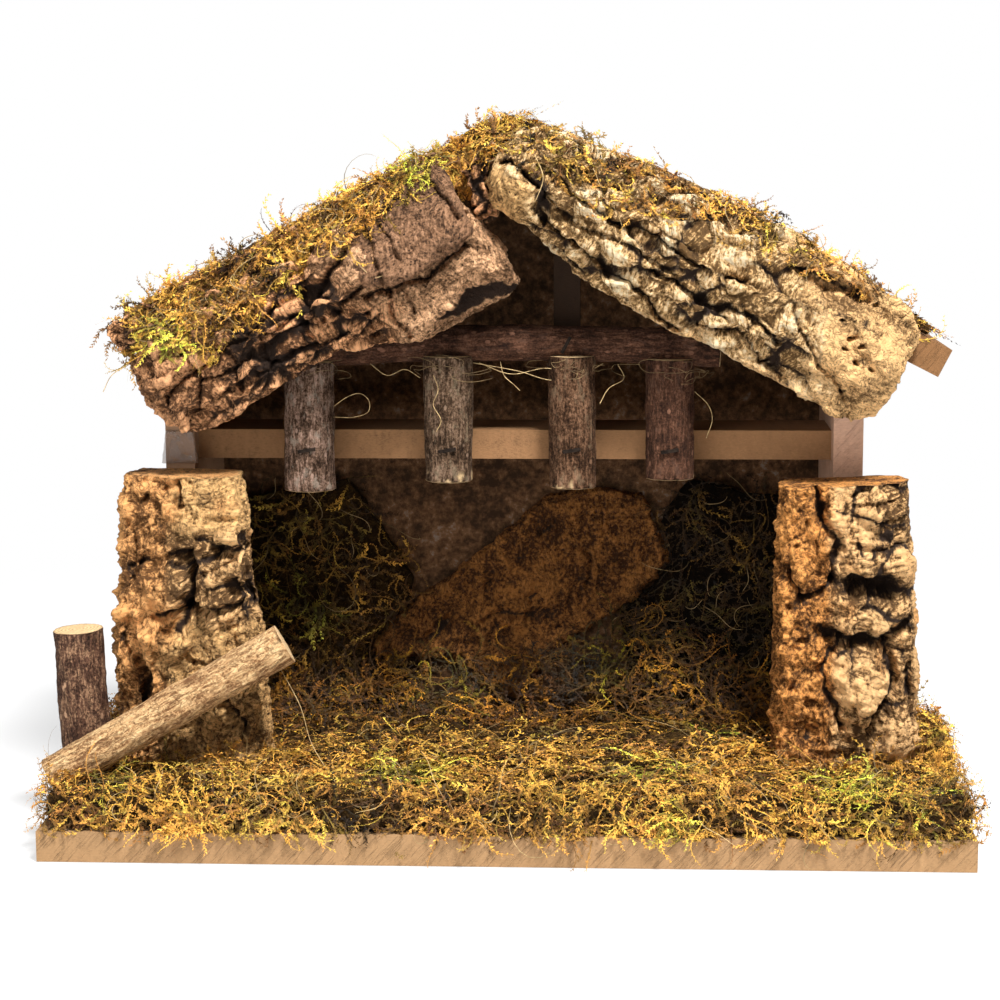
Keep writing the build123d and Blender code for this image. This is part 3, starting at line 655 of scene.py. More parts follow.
def carve_bark(plan, voxel):
    """A fine bark mesh from a CAD node, keeping for its material how far each place is from the dark of
    cracks and hollows (partly crack colour, partly painted shade), tone, calm, raw, lift and grain.
    """
    mesh = remeshed(plan.node, voxel, 3)
    points, normals = node_arrays(mesh)
    start, axes = plan.axes
    grain = (points - start) @ axes.T
    wander = np.stack([rough_noise(grain / 0.015, plan.seed + k, 4, 0.55) for k in (10, 20, 30)], axis=1)
    bent = grain + wander * 4.5 * MM
    noise = rough_noise(grain / 0.012, plan.seed + 5, 3)
    raw = np.clip(plan.raw(grain, noise), 0, 1)
    calm = np.clip(plan.calm(grain, noise), 0, 1)
    low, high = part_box(plan.node)
    saw_line = np.full(len(points), 1.0)
    if plan.sawn:
        saw_line = high[2] - np.interp(points[:, 0], (low[0], high[0]), plan.sawn) * MM
    cut = ease(0.5, 0.9, normals[:, 2]) * ease(-3 * MM, -1 * MM, points[:, 2] - saw_line)
    raw, calm = np.maximum(raw, cut), calm * (1 - cut)
    height, solid, tone = plate_relief(bent, plan.size, plan.seed, plan.furrow)
    cork, cork_uncracked_unshaded = cork_relief(grain, bent, plan.seed, plan.flaky)
    skin = rough_noise(bent / (0.004, 0.011, 0.011), plan.seed + 6, 5, 0.6)
    # Smooth skin is darkened in its low places, painted shade, and raw cork takes the darkening of its pits
    # and hollows.
    for share, other, closed in ((calm, skin * 0.9 * MM, ease(-0.75, -0.25, skin)), (raw, cork, cork_uncracked_unshaded)):
        height = height * (1 - share) + other * share
        solid = solid * (1 - share) + closed * share
    crust = ridged_noise(grain / (0.006, 0.0045, 0.0045), plan.seed + 60, 5, 0.65)
    height += plan.crust * crust
    # Painted shade: the low places of the crust are darkened (its creases where the crust sinks in, the
    # hollows between its flakes where it stands out), less on smooth skin.
    solid = solid * (1 - 0.6 * ease(0.3, 0.75, -np.sign(plan.crust) * crust) * (1 - 0.7 * calm))
    height += plan.lump * rough_noise(grain / 0.019, plan.seed + 65, 2)
    front = ease(-0.2, 0.45, normals @ axes[2])
    bedded = ease(0.0, 2.5 * MM, grain[:, 2])
    move = normals * (height * (plan.sides + (1 - plan.sides) * front) * bedded)[:, None]
    shiver = np.stack([rough_noise(grain / 0.0045, plan.seed + k, 3, 0.6) for k in (12, 22)], axis=1)
    flat = (grain[:, :2] + wander[:, :2] * 2.6 * MM + shiver * 1.5 * MM) / MM
    for width, rise, path in plan.strokes:
        near = 1 - (stroke_reach(flat, path) / width) ** 2
        profile = np.clip(near, 0, 1) ** 0.75 * front
        move += axes[2] * (profile * rise * MM * ease(3 * MM, 8 * MM, grain[:, 2]))[:, None]
        # Sunken strokes are darkened along their middles, widely for the deepest holes: painted shade in
        # cracks and holes.
        if rise < 0:
            solid = solid * (1 - np.clip(-rise / 5.0, 0, 0.97) * profile ** (0.4 if rise < -9 else 3.5))
    if plan.notch:
        first, last, top, rise, left = plan.notch
        arch = top - rise * ((flat[:, 0] - (first + last) / 2) / ((last - first) / 2)) ** 2
        broken = 1 - ease(-0.7, 0.7, flat[:, 1] - arch)
        move -= axes[2] * (broken * np.maximum(grain[:, 2] - left * MM, 0) * 0.9)[:, None]
        # The broken-off mouth is darkened inside the arch: painted shade in the hollow.
        solid = solid * (1 - broken * ease(top - rise - 2, top - rise, flat[:, 1]))
    edge_noise = [rough_noise(grain / 0.008, plan.seed + k, 4, 0.6) for k in (81, 91)]
    footed = ease(0.5 * MM, 6 * MM, points[:, 2] - BASE_TOP)
    jag = edge_noise[0][:, None] * axes[0] + edge_noise[1][:, None] * axes[1]
    move += jag * (plan.ragged * footed)[:, None]
    moved = points + move
    if plan.trim:
        reach = (moved - start) @ axes[1] / MM - np.interp(flat[:, 0], *plan.trim)
        moved -= axes[1] * (np.maximum(reach, 0) * 0.9 * MM)[:, None]
    moved[:, 2] = np.minimum(moved[:, 2], saw_line + edge_noise[0] * 0.5 * MM)
    set_points(mesh, moved)
    lift = ease(-0.6, 0.5, height / plan.furrow)
    for name, values in zip(BARK_VALUES, (solid, tone, calm, raw, lift)):
        set_value(mesh, name, values)
    set_vector(mesh, "grain", grain)
    return mesh


def bark_look(name, crack, plate_tint, crest_tint, calm_tint, raw_tint, lined=0.7, grit=0.9, painted_highlight=None):
    """Bark: dark cracks, plates with fine growth lines, pored smooth skin and flaky raw cork."""
    look = Look(name)
    grain = look.attribute("grain", 1)
    solid, tone, calm, raw, lift = (look.attribute(name) for name in BARK_VALUES)
    along, across, out = look.parts(grain)
    skewed = look.joined(along + (tone - 0.5) * across * 1.4, across, out)
    lines = look.noise(look.stretch(skewed, (1150, 150, 240)), 1.0, 3, 0.6, 0.5)
    fine = look.noise(grain, 800, 6, 0.75)
    cloud = look.noise(grain, 75, 4, 0.6)
    vein = look.noise(look.stretch(grain, (1, 1.5, 1.5)), 190, 5, 0.7, 1.2) - 0.5
    checks = look.step(look.size(vein), 0.0, 0.035)
    pores = look.step(look.cells(look.stretch(grain, (1.0, 1.5, 1.5)), 560), 0.1, 0.32)
    dark, body = shades(plate_tint, 0.26, 1.0)
    # The palest stop of the plates is a painted highlight on their highest crests, near-white where a
    # highlight colour is given.
    plate = look.ramp(
        fine * 0.8 + lines * 0.35 + lift * 0.14 + cloud * 0.22 + tone * 0.08 - 0.225,
        (0.47, dark), (0.53, body), (0.59, crest_tint), (0.67, painted_highlight or shade(crest_tint, 1.7)),
    )  # fmt: skip
    plate = look.mix(look.step(lines, 0.44, 0.36) * lined, plate, dark)
    low, mid, high = shades(calm_tint, 0.2, 1.0, 2.0)
    skin = look.ramp(fine * 0.8 + cloud * 0.35 + lines * 0.3 - 0.225, (0.4, low), (0.5, mid), (0.61, high))
    skin = look.mix(look.step(lines, 0.42, 0.34) * 0.4, skin, low)
    skin = look.mix((1 - pores) * look.step(lines, 0.6, 0.45) * 0.95, skin, shade(calm_tint, 0.05))
    low, mid, high = shades(raw_tint, 0.2, 1.0, 1.7)
    crumb = fine * grit + cloud * 0.3 + lift * 0.1 + 0.3 - grit / 2
    cork = look.ramp(crumb, (0.42, low), (0.5, mid), (0.61, high))
    cork = look.mix((1 - checks) * 0.7, cork, shade(raw_tint, 0.12))
    surface = look.mix(raw, look.mix(calm, plate, skin), cork)
    # Cracks and hollows take the crack colour: partly the bark's own dark crack bottoms, partly painted
    # shade.
    depth = look.step(solid + (fine - 0.5) * 0.8, 0.08, 0.52)
    relief = look.bump(fine * 0.9 + lines * (0.6 * lined) + checks * 0.15, 1.8 * MM)
    relief = look.bump(pores, 0.3 * MM, relief)
    tone = look.mix(depth, crack, surface)
    return look.done(Base_Color=tone, Roughness=0.85, Specular_IOR_Level=0.25, Normal=relief)


def left_calm(grain, noise):
    """Where the left fascia is smooth: its curled end near the ridge."""
    return 1 - ease(60 * MM, 76 * MM, grain[:, 0] + noise * 12 * MM - (grain[:, 1] + 30 * MM) * 0.4)


def left_raw(grain, noise):
    """Where the left fascia is raw cork: its eave end."""
    return 0.35 * ease(118 * MM, 136 * MM, grain[:, 0] + noise * 14 * MM - grain[:, 1] * 0.5)


def right_calm(grain, noise):
    """Where the right fascia is smooth: the rolled lower corner at the ridge."""
    near = 1 - ease(16 * MM, 20 * MM, grain[:, 0] + noise * 3 * MM)
    return near * ease(13 * MM, 16 * MM, noise * 2 * MM - grain[:, 1])


def right_raw(grain, noise):
    """Where the right fascia is raw cork: its eave end and a strip along its lower edge."""
    end = ease(100 * MM, 113 * MM, grain[:, 0] + noise * 13 * MM + grain[:, 1] * 0.7)
    edge = ease(30 * MM, 36 * MM, noise * 7 * MM - grain[:, 1]) * ease(55 * MM, 75 * MM, grain[:, 0])
    return np.maximum(end, edge * 0.8)


def left_pillar_raw(grain, noise):
    """Where the left pillar is raw cork: its outer side."""
    side = 1 - ease(-11 * MM, -3 * MM, grain[:, 1] + noise * 7 * MM - (grain[:, 0] - 60 * MM) * 0.06)
    return np.maximum(side, 0.5 * ease(0.2, 0.5, noise) * ease(54 * MM, 60 * MM, grain[:, 0]))


def left_pillar_calm(grain, noise):
    """Where the left pillar is smooth: its inner upper part and its foot under the log."""
    top = ease(86 * MM, 92 * MM, grain[:, 0] + noise * 5 * MM)
    foot = 1 - ease(55 * MM, 60 * MM, grain[:, 0] + noise * 4 * MM)
    return np.maximum(top, foot) * 0.9


def right_pillar_raw(grain, noise):
    """Where the right pillar is raw cork: the part left of its long crack."""
    side = 1 - ease(-8 * MM, -4 * MM, grain[:, 1] + noise * 3 * MM + (grain[:, 0] - 70 * MM) * 0.02)
    return np.maximum(side, 0.55 * ease(0.15, 0.5, noise))


LEFT_PILLAR_STROKES = (
    (8, 6, ((74, 10), (70, 12))), (7, 6, ((71, -7), (68, -5))), (6, 6, ((77, 21), (74, 22))),
    (4.5, 5, ((88, 14), (88, 22), (86, 26))), (4, 4, ((64, 9), (62, 13))),
    (6, 4, ((54, -12), (52, -6))), (3.0, -9, ((79, 0), (69, 1), (62, 0), (54, -4))),
    (3.2, -9, ((71, 15), (68, 19), (66, 24))), (1.8, -5, ((82, -8), (81, -2), (82, 1))),
    (1.8, -5, ((60, -11), (61, -4), (63, 0))), (2.2, -7, ((64, 2), (62, 9), (64, 18))),
    (2.0, -6, ((83, 9), (82, 21), (82, 26))), (1.4, -4, ((107, -3), (102, -2), (97, -3))),
    (1.0, -3, ((105, -7), (106, -3), (104, -2))), (1.0, -3, ((75, 6), (78, 12), (80, 16))),
    (1.4, -4, ((100, -14), (99, -14))), (1.2, -3, ((81, -15), (80, -15))),
    (2.4, -6, ((45, -17), (35, -14), (30, -15))), (3.0, -7, ((32, 12), (25, 15), (22, 18))),
    (1.0, -2.5, ((92, -20), (84, -18), (78, -21))), (1.0, -2.5, ((60, -20), (52, -22), (46, -19))),
    (0.9, -3, ((48, -2), (44, 8), (40, 14))),
)  # fmt: skip

RIGHT_PILLAR_STROKES = (
    (8, 4, ((80, 3), (79, 16))), (8, 3, ((62, 2), (60, 14))), (8, 6, ((44, 6), (34, 5))),
    (6, 3, ((98, 6), (97, 17))), (5, 2, ((22, -2), (20, 3))), (5, 2, ((26, 18), (20, 18))),
    (6, 2, ((60, -18), (40, -18))), (4.4, -12, ((73, 3), (71.5, 8), (71.5, 12))),
    (2.6, -7, ((57, -10), (53, -3), (54, 11), (58, 17), (64, 23))),
    (2.2, -6, ((107, -11), (97, -10), (91, -8), (84, -5), (74, -5))),
    (1.3, -5, ((74, -5), (70, -10), (67, -16))),
    (1.1, -5, ((79, -27), (78, -20), (73, -19), (68, -16))),
    (1.8, -5, ((53, -4), (44, -9), (33, -4), (26, -2))),
    (2.6, -6, ((52, 12), (37, 14), (31, 12), (23, 8))), (1.6, -4, ((50, 22), (40, 18), (34, 22))),
    (1.0, -3, ((85, 0), (84, 9), (88, 22))), (0.8, -2.5, ((99, 1), (101, 12), (103, 20))),
    (0.8, -2.5, ((93, 9), (97, 21))), (1.2, -4, ((64, -20),)), (1.2, -4, ((54, -17),)),
    (1.0, -4, ((47, -22),)), (1.3, -4, ((37, -18),)), (1.0, -4, ((94, -15),)), (1.0, -4, ((85, -18),)),
    (1.8, -3, ((103, 2), (104, 5))),
)  # fmt: skip

LEFT_FASCIA_STROKES = (
    (5.5, 6, ((77, -16), (67, -7))), (5.5, 6, ((78, -26), (70, -21), (62, -16))),
    (1.6, -5, ((66, -29), (45, -32), (30, -28), (26, -20))),
    (1.1, -5, ((80, -21), (70, -15), (63, -11), (57, -12))),
    (1.1, -4, ((77, -31), (67, -25), (60, -21))), (1.2, -4, ((82, -14), (80, -8), (73, -3), (66, -3))),
    (5, 2, ((88, -17), (98, -19))), (0.9, -3, ((84, -19), (97, -18), (110, -23), (124, -20))),
    (0.9, -3, ((82, -30), (96, -27), (111, -30), (128, -28))),
    (1.0, -3, ((78, -37), (92, -34), (108, -37), (122, -35))),
    (0.9, -3, ((80, -25), (90, -23), (101, -25))), (0.9, -3, ((103, -24), (106, -30), (104, -36))),
    (0.9, -3, ((118, -20), (115, -28), (119, -37))), (1.0, -4, ((90, -27), (89, -34))),
    (1.1, -4, ((130, -18), (128, -28), (133, -38))), (0.9, -4, ((122, -24), (136, -25), (143, -30))),
    (0.9, -3.5, ((60, -31), (62, -40), (60, -47))), (0.8, -3, ((69, -33), (70, -42))),
    (0.8, -3, ((54, -34), (55, -40))),
)  # fmt: skip

SHELL_STROKES = (
    (1.1, -3.5, ((31, -3), (29, -13), (28, -20))), (0.8, -2.5, ((27, 2), (31, -4), (36, -8))),
    (0.7, -2.5, ((52, -10), (50, -24))), (1.0, -3, ((58, -6), (57, -16), (58, -27))),
    (4, 2.5, ((62, -25), (45, -28), (31, -23))), (3, 1.2, ((34, -12), (44, -10))),
)  # fmt: skip

RIGHT_FASCIA_STROKES = (
    (1.5, -5, ((20, -20), (32, -25), (47, -27), (64, -31), (80, -34))),
    (1.3, -5, ((16, -7), (43, -12), (61, -11), (76, -13), (91, -9))),
    (1.3, -5, ((60, -22), (83, -22), (100, -20), (112, -24))),
    (2.6, -6, ((106, 1), (117, 2), (129, 2))), (1.2, -4, ((20, -14), (38, -19), (52, -17), (70, -19))),
    (5.5, 4.5, ((5, -17), (17, -21))), (2.6, -7, ((0, -18), (3, -21))),
    (1.2, -5, ((4, -11), (12, -12), (21, -16))), (1.1, -4, ((85, -31), (100, -28), (118, -33))),
    (0.9, -3, ((107, -9), (115, -16), (124, -22), (131, -23), (140, -29))), (1.2, -5, ((131, -9.6),)),
    (1.0, -5, ((135, -11.5),)), (1.3, -5, ((131, -15),)), (1.0, -5, ((141, -16),)),
    (1.1, -5, ((136, -17),)), (1.0, -5, ((133, 2),)), (0.9, -5, ((125, -8),)),
)  # fmt: skip


SLAB_STROKES = (
    (2.2, -5, ((62, 10), (63, 12))), (1.6, -4, ((43, -11), (44, -9))), (2.0, -5, ((38, 4), (40, 7))),
    (3.2, -6, ((24, -32), (28, -27))), (1.4, -4, ((30, -12), (34, -4), (33, 6))),
    (1.2, -4, ((56, 24), (50, 28), (44, 27))), (5, 2.5, ((48, -8), (60, 4))),
    (6, 2, ((40, 18), (30, 10))),
)  # fmt: skip


class STABLE_OT_bark(bpy.types.Operator):
    """Carves the cork bark on the roof fronts, the pillars and the back slab"""

    bl_idname = "stable.bark"
    bl_label = "Cork bark"

    def execute(self, context):
        bark = context.scene.stable_bark
        looks = self.looks(bark)
        pillar = {"size": (0.016, 0.018), "furrow": bark.furrow * 0.5, "crust": -2.0 * MM, "lump": 2.5 * MM}
        plans = (
            BarkPlan("right_bark_fascia", slope_axes(1), "ridged", (0.0115, 0.0085), 11, bark.furrow,
                     raw=right_raw, calm=right_calm, strokes=RIGHT_FASCIA_STROKES, flaky=1.0),
            BarkPlan("left_bark_fascia", slope_axes(-1), "brown", (0.0105, 0.0058), 23, bark.furrow,
                     crust=-0.9 * MM, raw=left_raw, calm=left_calm, strokes=LEFT_FASCIA_STROKES,
                     notch=(19, 50, -42, 6, 5)),
            BarkPlan("left_bark_shell", slope_axes(-1), "shell", (0.02, 0.012), 27, bark.furrow,
                     crust=0.5 * MM, calm=everywhere, strokes=SHELL_STROKES),
            BarkPlan("ridge_bark_chip", slope_axes(-1), "brown", (0.007, 0.005), 31, 2.5 * MM, 1.0 * MM),
            BarkPlan("left_eave_chip", slope_axes(-1), "brown", (0.007, 0.005), 35, 2.0 * MM),
            BarkPlan("left_bark_pillar", upright_axes("left_bark_pillar", LEFT_PILLAR_MIDDLE), "left_pillar",
                     seed=43, raw=left_pillar_raw, calm=left_pillar_calm, strokes=LEFT_PILLAR_STROKES,
                     sawn=(1.2, 2.2), trim=((0, 84, 88.5, 90.5, 107, 110), (40, 40, 26.5, 20.8, 17.6, 17)),
                     **pillar),
            BarkPlan("right_bark_pillar", upright_axes("right_bark_pillar", RIGHT_PILLAR_MIDDLE),
                     "right_pillar", seed=57, raw=right_pillar_raw, sides=0.2, ragged=0.9 * MM,
                     strokes=RIGHT_PILLAR_STROKES, sawn=(3.5, 2.0), **pillar),
            BarkPlan("back_bark_slab", upright_axes("back_bark_slab", SLAB_MIDDLE), "slab", (0.012, 0.016),
                     71, 1.5 * MM, crust=-1.0 * MM, raw=everywhere, strokes=SLAB_STROKES),
        )  # fmt: skip
        for plan in plans:
            carved = carve_bark(plan, bark.grain)
            show(carved, plan.node + "_carved", looks[plan.look], (plan.node,))
        return {"FINISHED"}

    def looks(self, bark):
        """The six kinds of bark: tints of plates, crests, smooth skin and raw cork, then lines, grit and, for
        the ridged bark, a near-white painted highlight.
        """
        ridge, brown, cork, skin, pillar = (
            tuple(tint)
            for tint in (bark.ridge_tint, bark.brown_tint, bark.cork_tint, bark.skin_tint, bark.pillar_tint)
        )
        crest = shade(brown, 1.9)
        warm = tuple(np.array(ridge) * (0.9, 0.8, 0.7))
        rosy_skin = tuple(np.array(skin) * (0.8, 0.7, 0.7))
        warm_plate = shade(warm, 0.55)
        kinds = {
            "ridged": ((0.55, 0.325, 0.125), ridge, shade(cork, 0.7), (0.84, 0.5, 0.21), 0.55, 0.5,
                       (0.95, 0.78, 0.5)),
            # The brown bark's smooth skin is a paler copy of the shell's skin: painted light against the
            # shadow that the shell casts on it.
            "brown": (brown, crest, (0.49, 0.265, 0.13), shade(brown, 0.85), 0.5),
            "shell": (brown, crest, rosy_skin, brown, 0.5),
            "left_pillar": (warm_plate, warm, shade(cork, 0.75), (0.80, 0.39, 0.135), 0.3, 0.65),
            "right_pillar": (warm_plate, warm, cork, shade(pillar, 1.1), 0.3),
            "slab": (shade(pillar, 0.4), pillar, skin, shade(pillar, 0.5), 0.3),
        }  # fmt: skip
        crack = tuple(bark.crack_shade_tint)
        return {kind: bark_look(kind + "_bark", crack, *tints) for kind, tints in kinds.items()}


# Branch wood


def branch_mesh(name, path, radius, seed, knots=()):
    """A branch along a path: wrinkled bark, sawn ends, and knots (share along, angle, size in metres).
    The vertices keep wood (1 on a sawn end), ring (0 to 1 from the pith) and a grain vector."""
    around, along = 72, len(path)
    tangent = np.gradient(path, axis=0)
    tangent /= np.linalg.norm(tangent, axis=1)[:, None]
    helper = np.array((0.0, 1, 0)) if abs(tangent[0][1]) < 0.8 else np.array((0.0, 0, 1))
    side = np.cross(tangent, helper)
    side /= np.linalg.norm(side, axis=1)[:, None]
    other = np.cross(tangent, side)
    turn = np.linspace(0, 2 * np.pi, around, endpoint=False)
    run = np.concatenate([[0], np.cumsum(np.linalg.norm(np.diff(path, axis=0), axis=1))])
    total = run[-1]
    grid_turn, grid_run = np.meshgrid(turn, run)
    flat = np.stack([np.cos(grid_turn) * radius, np.sin(grid_turn) * radius, grid_run], axis=-1)
    flat = flat.reshape(-1, 3)
    bark = 0.55 * MM * rough_noise(flat / (0.0022, 0.0022, 0.012), seed, 4, 0.6)
    bark += 0.35 * MM * rough_noise(flat / 0.0035, seed + 7, 3, 0.6)
    bark += radius * 0.05 * smooth_noise(flat / (0.012, 0.012, 0.03), seed + 9)
    for share, angle, size in knots:
        swing = np.angle(np.exp(1j * (grid_turn - angle))) * radius
        gap = np.sqrt(swing**2 + (grid_run - share * total) ** 2).ravel() / size
        bark += size * (0.5 * np.exp(-(gap**2) * 1.5) - 0.3 * np.exp(-(gap**2) * 9))
    reach = (radius - 0.35 * MM + bark).reshape(along, around)
    hull = path[:, None, :] + reach[..., None] * (
        np.cos(grid_turn)[..., None] * side[:, None, :] + np.sin(grid_turn)[..., None] * other[:, None, :]
    )
    points = [hull.reshape(-1, 3)]
    near_end = 1 - ease(1.5 * MM, 4 * MM, flat[:, 2])
    wood = [near_end * ease(0.3, 0.45, rough_noise(flat / 0.0045, seed + 15, 3))]
    ring = [np.ones(along * around)]
    rows = np.arange(along * around).reshape(along, around)
    faces = [tube_faces(rows)]
    count = along * around
    for end, sign in ((0, -1), (along - 1, 1)):
        last = None
        for level in (1.0, 0.985, 0.8, 0.6, 0.4, 0.2, 0.03):
            lift = sign * tangent[end] * (0.0 if level == 1.0 else 0.25 * MM)
            loop = path[end] + (hull[end] - path[end]) * level + lift
            loop = loop + sign * tangent[end] * (0.2 * MM * rough_noise(loop / 0.002, seed + 3, 3))[:, None]
            index = np.arange(count, count + around)
            points.append(loop)
            wood.append(np.full(around, 0.0 if level == 1.0 else 1.0))
            ring.append(np.full(around, level))
            before = rows[end] if last is None else last
            quad = np.stack([before, np.roll(before, -1), np.roll(index, -1), index], axis=-1)
            faces.append(quad if sign > 0 else quad[:, ::-1])
            last = index
            count += around
        points.append((path[end] + sign * tangent[end] * 0.2 * MM)[None])
        wood.append(np.ones(1))
        ring.append(np.zeros(1))
        tip = np.full(around, count)
        fan = np.stack([last, np.roll(last, -1), tip, tip], axis=-1)
        faces.append(fan if sign > 0 else fan[:, ::-1])
        count += 1
    corners = np.concatenate(faces)
    mesh = bpy.data.meshes.new(name)
    mesh.from_pydata(
        np.concatenate(points).tolist(), [], [list(dict.fromkeys(face)) for face in corners.tolist()]
    )
    mesh.validate()
    set_value(mesh, "wood", np.concatenate(wood))
    set_value(mesh, "ring", np.concatenate(ring))
    caps = len(mesh.vertices) - along * around
    set_vector(mesh, "grain", np.concatenate([flat, np.zeros((caps, 3))]))
    return mesh


SAWN_WOOD = (0.55, 0.38, 0.2)


def branch_look(name, dark, body, pale, patch, spots=0.6, net=0.35, busy=1.0, dots=290):
    """Twig bark: streaks along the branch, lenticels, silvery patches; sawn ends with rings. spots and net
    are how much the lenticels and the fissures show, busy how rough the tone is, dots how close the
    lenticels stand."""
    look = Look(name)
    grain = look.attribute("grain", 1)
    wood, ring = look.attribute("wood"), look.attribute("ring")
    place = look.place()
    streak = look.noise(look.stretch(grain, (850, 850, 170)), 1.0, 5, 0.7, 0.4)
    fine = look.noise(grain, 1200, 5, 0.7)
    cloud = look.noise(grain, 110, 3, 0.55)
    lenticel = look.step(look.cells(look.stretch(grain, (1, 1, 0.7)), dots), 0.12, 0.2)
    tone = look.ramp(
        (streak * 0.4 + fine * 0.35 + cloud * 0.25 - 0.5) * busy + 0.5,
        (0.43, dark), (0.495, body), (0.55, pale), (0.64, shade(pale, 1.7)),
    )  # fmt: skip
    seam = look.noise(look.stretch(grain, (1, 1, 0.4)), 420, 4, 0.6, 1.0) - 0.5
    fissure = look.step(look.size(seam), 0.0, 0.035)
    tone = look.mix((1 - fissure) * net, tone, dark)
    lichen = look.noise(look.stretch(grain, (1, 1, 0.6)), 330, 5, 0.7)
    tone = look.mix(look.step(lichen + (cloud - 0.5) * 0.5, 0.56, 0.66) * (0.6 * busy), tone, patch)
    tone = look.mix((1 - lenticel) * spots, tone, shade(pale, 1.5))
    rings = look.noise(place, 30, 2) * 0.6 + ring * 7.0
    band = look.node("ShaderNodeMath", {"operation": "PINGPONG"}, {0: rings, 1: 0.5}) * 2.0
    sawn = look.ramp(
        band * 0.35 + look.noise(place, 800, 4, 0.7) * 0.65,
        (0.25, dimmed(SAWN_WOOD, 0.5)), (0.5, SAWN_WOOD), (0.75, dimmed(SAWN_WOOD, 1.4)),
    )  # fmt: skip
    tone = look.mix(wood, tone, sawn)
    relief = look.bump(streak * 0.6 + fine * 0.6 + lichen * 0.5 + fissure * net * 0.5, 1.3 * MM)
    return look.done(Base_Color=tone, Roughness=0.85, Specular_IOR_Level=0.12, Normal=relief)


def node_axis(node, steps, hangs):
    """Points along the middle of a straight branch node, upright where it hangs, and its radius."""
    points, _ = node_arrays(NODES[node].data)
    heart = (points.min(axis=0) + points.max(axis=0)) / 2
    spread = points - points.mean(axis=0)
    way = np.array((0.0, 0, 1)) if hangs else np.linalg.svd(spread, full_matrices=False)[2][0]
    if way[np.argmax(np.abs(way))] < 0:
        way = -way
    reach = (points - heart) @ way
    across = points - heart - reach[:, None] * way
    radius = np.percentile(np.linalg.norm(across, axis=1), 92)
    shares = np.linspace(reach.min(), reach.max(), steps)
    return heart + shares[:, None] * way, radius


# Node, kind of bark, seed, and knots (share along, angle round the branch, size in metres)
STRAIGHT_BRANCHES = (
    ("hanging_stub_1", "silver_twig", 3, ((0.75, 3.9, 2.4 * MM),)),
    ("hanging_stub_2", "grey_twig", 5, ((0.35, 4.6, 2.0 * MM),)),
    ("hanging_stub_3", "tan_twig", 7, ((0.06, 5.4, 2.6 * MM),)),
    ("hanging_stub_4", "red_twig", 9, ((0.82, 4.4, 3.2 * MM),)),
    ("standing_stump", "stump_bark", 13, ((0.35, 4.5, 2.4 * MM), (0.7, 5.2, 1.8 * MM))),
    ("leaning_log", "pale_log", 17, ((0.6, 4.4, 1.6 * MM),)),
)
LINTEL_RADIUS = 6.4 * MM
LINTEL_BOW = 2 * MM


class STABLE_OT_branches(bpy.types.Operator):
    """Makes the lintel, the hanging stubs, the stump and the leaning log"""

    bl_idname = "stable.branches"
    bl_label = "Branch wood"

    def execute(self, context):
        twig = np.array(context.scene.stable_bark.twig_tint)
        kinds = {
            "silver_twig": (*shades(twig * (1.5, 1.5, 1.7), 0.2, 1.0, 2.4), (0.24, 0.2, 0.155)),
            "grey_twig": (*shades(twig * 1.2, 0.2, 1.0, 2.4), (0.19, 0.145, 0.09)),
            "tan_twig": (*shades(twig * (1.1, 0.92, 0.8), 0.2, 1.0, 2.3), (0.18, 0.12, 0.07)),
            "red_twig": ((0.016, 0.007, 0.004), (0.064, 0.027, 0.0145), (0.14, 0.064, 0.036),
                         (0.095, 0.052, 0.036), 0.85, 0.35, 0.75, 240),
            "pale_log": ((0.2, 0.095, 0.04), (0.52, 0.305, 0.14), (0.72, 0.48, 0.24),
                         (0.56, 0.33, 0.155), 0.0, 0.6),
            "stump_bark": ((0.02, 0.01, 0.007), (0.105, 0.05, 0.03), (0.36, 0.205, 0.115),
                           (0.17, 0.09, 0.055), 0.9, 0.7, 0.6, 225),
        }  # fmt: skip
        looks = {kind: branch_look(kind, *tints) for kind, tints in kinds.items()}
        for node, look, seed, knots in STRAIGHT_BRANCHES:
            path, radius = node_axis(node, 64, node.startswith("hanging"))
            mesh = branch_mesh(node, path, radius, seed, knots)
            show(mesh, node + "_bark", looks[look], (node,))
        low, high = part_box("lintel_branch")
        x = np.linspace(low[0], high[0], 110)
        share = (x - low[0]) / (high[0] - low[0])
        bow = LINTEL_BOW * (4 * share * (1 - share))
        z = low[2] + LINTEL_RADIUS + 0.1 * MM + bow
        path = np.stack([x, np.full_like(x, (low[1] + high[1]) / 2), z], axis=1)
        mesh = branch_mesh("lintel", path, LINTEL_RADIUS, 21, ((0.62, 4.7, 2.2 * MM), (0.2, 4.3, 1.8 * MM)))
        show(mesh, "lintel_branch_bark", looks["red_twig"], ("lintel_branch",))
        return {"FINISHED"}


# Moss

STEM_STEPS = 11
# The box that fronds bend back into
PROUD_LOW = np.array((-0.154, -0.074, 0.0006))
PROUD_HIGH = np.array((0.152, 0.075, 0.242))
# The most that any channel of a frond's colour gets, so that pale fronds keep their hue
BRIGHTEST = 0.85
# How far out the side walls reach from the middle, and how high the fronds are kept off the back panel
WALL_REACH = 0.119
ROOM_TOP = 0.15
# Painted shade on the moss that lies deep under the roof: how dark and warm its colour is made
INDOOR_PAINTED_SHADE = np.array((0.26, 0.205, 0.11))


def bent_back(points):
    """Points bent back where they would stand too far out of the stable's outline."""
    over = np.maximum(points - PROUD_HIGH, 0)
    under = np.maximum(PROUD_LOW - points, 0)
    give = 3 * MM
    kept_over = give * np.tanh(over / give) * 0.9
    kept_under = give * np.tanh(under / give) * (0.9, 0.9, 0)
    return points - over + kept_over + under - kept_under


def unit(vectors):
    """Vectors of length 1."""
    return vectors / np.maximum(np.linalg.norm(vectors, axis=1), 1e-9)[:, None]


@dataclass
class Fronds:
    """Moss fronds to grow: where, which way, how long, how steeply and in what colour."""

    roots: np.ndarray
    normals: np.ndarray
    heading: np.ndarray
    lengths: np.ndarray
    tints: np.ndarray
    leaf: np.ndarray
    lift: float = 0.4
    spread: float = 0.3
    bend: float = 2.6
    leafy: bool = True


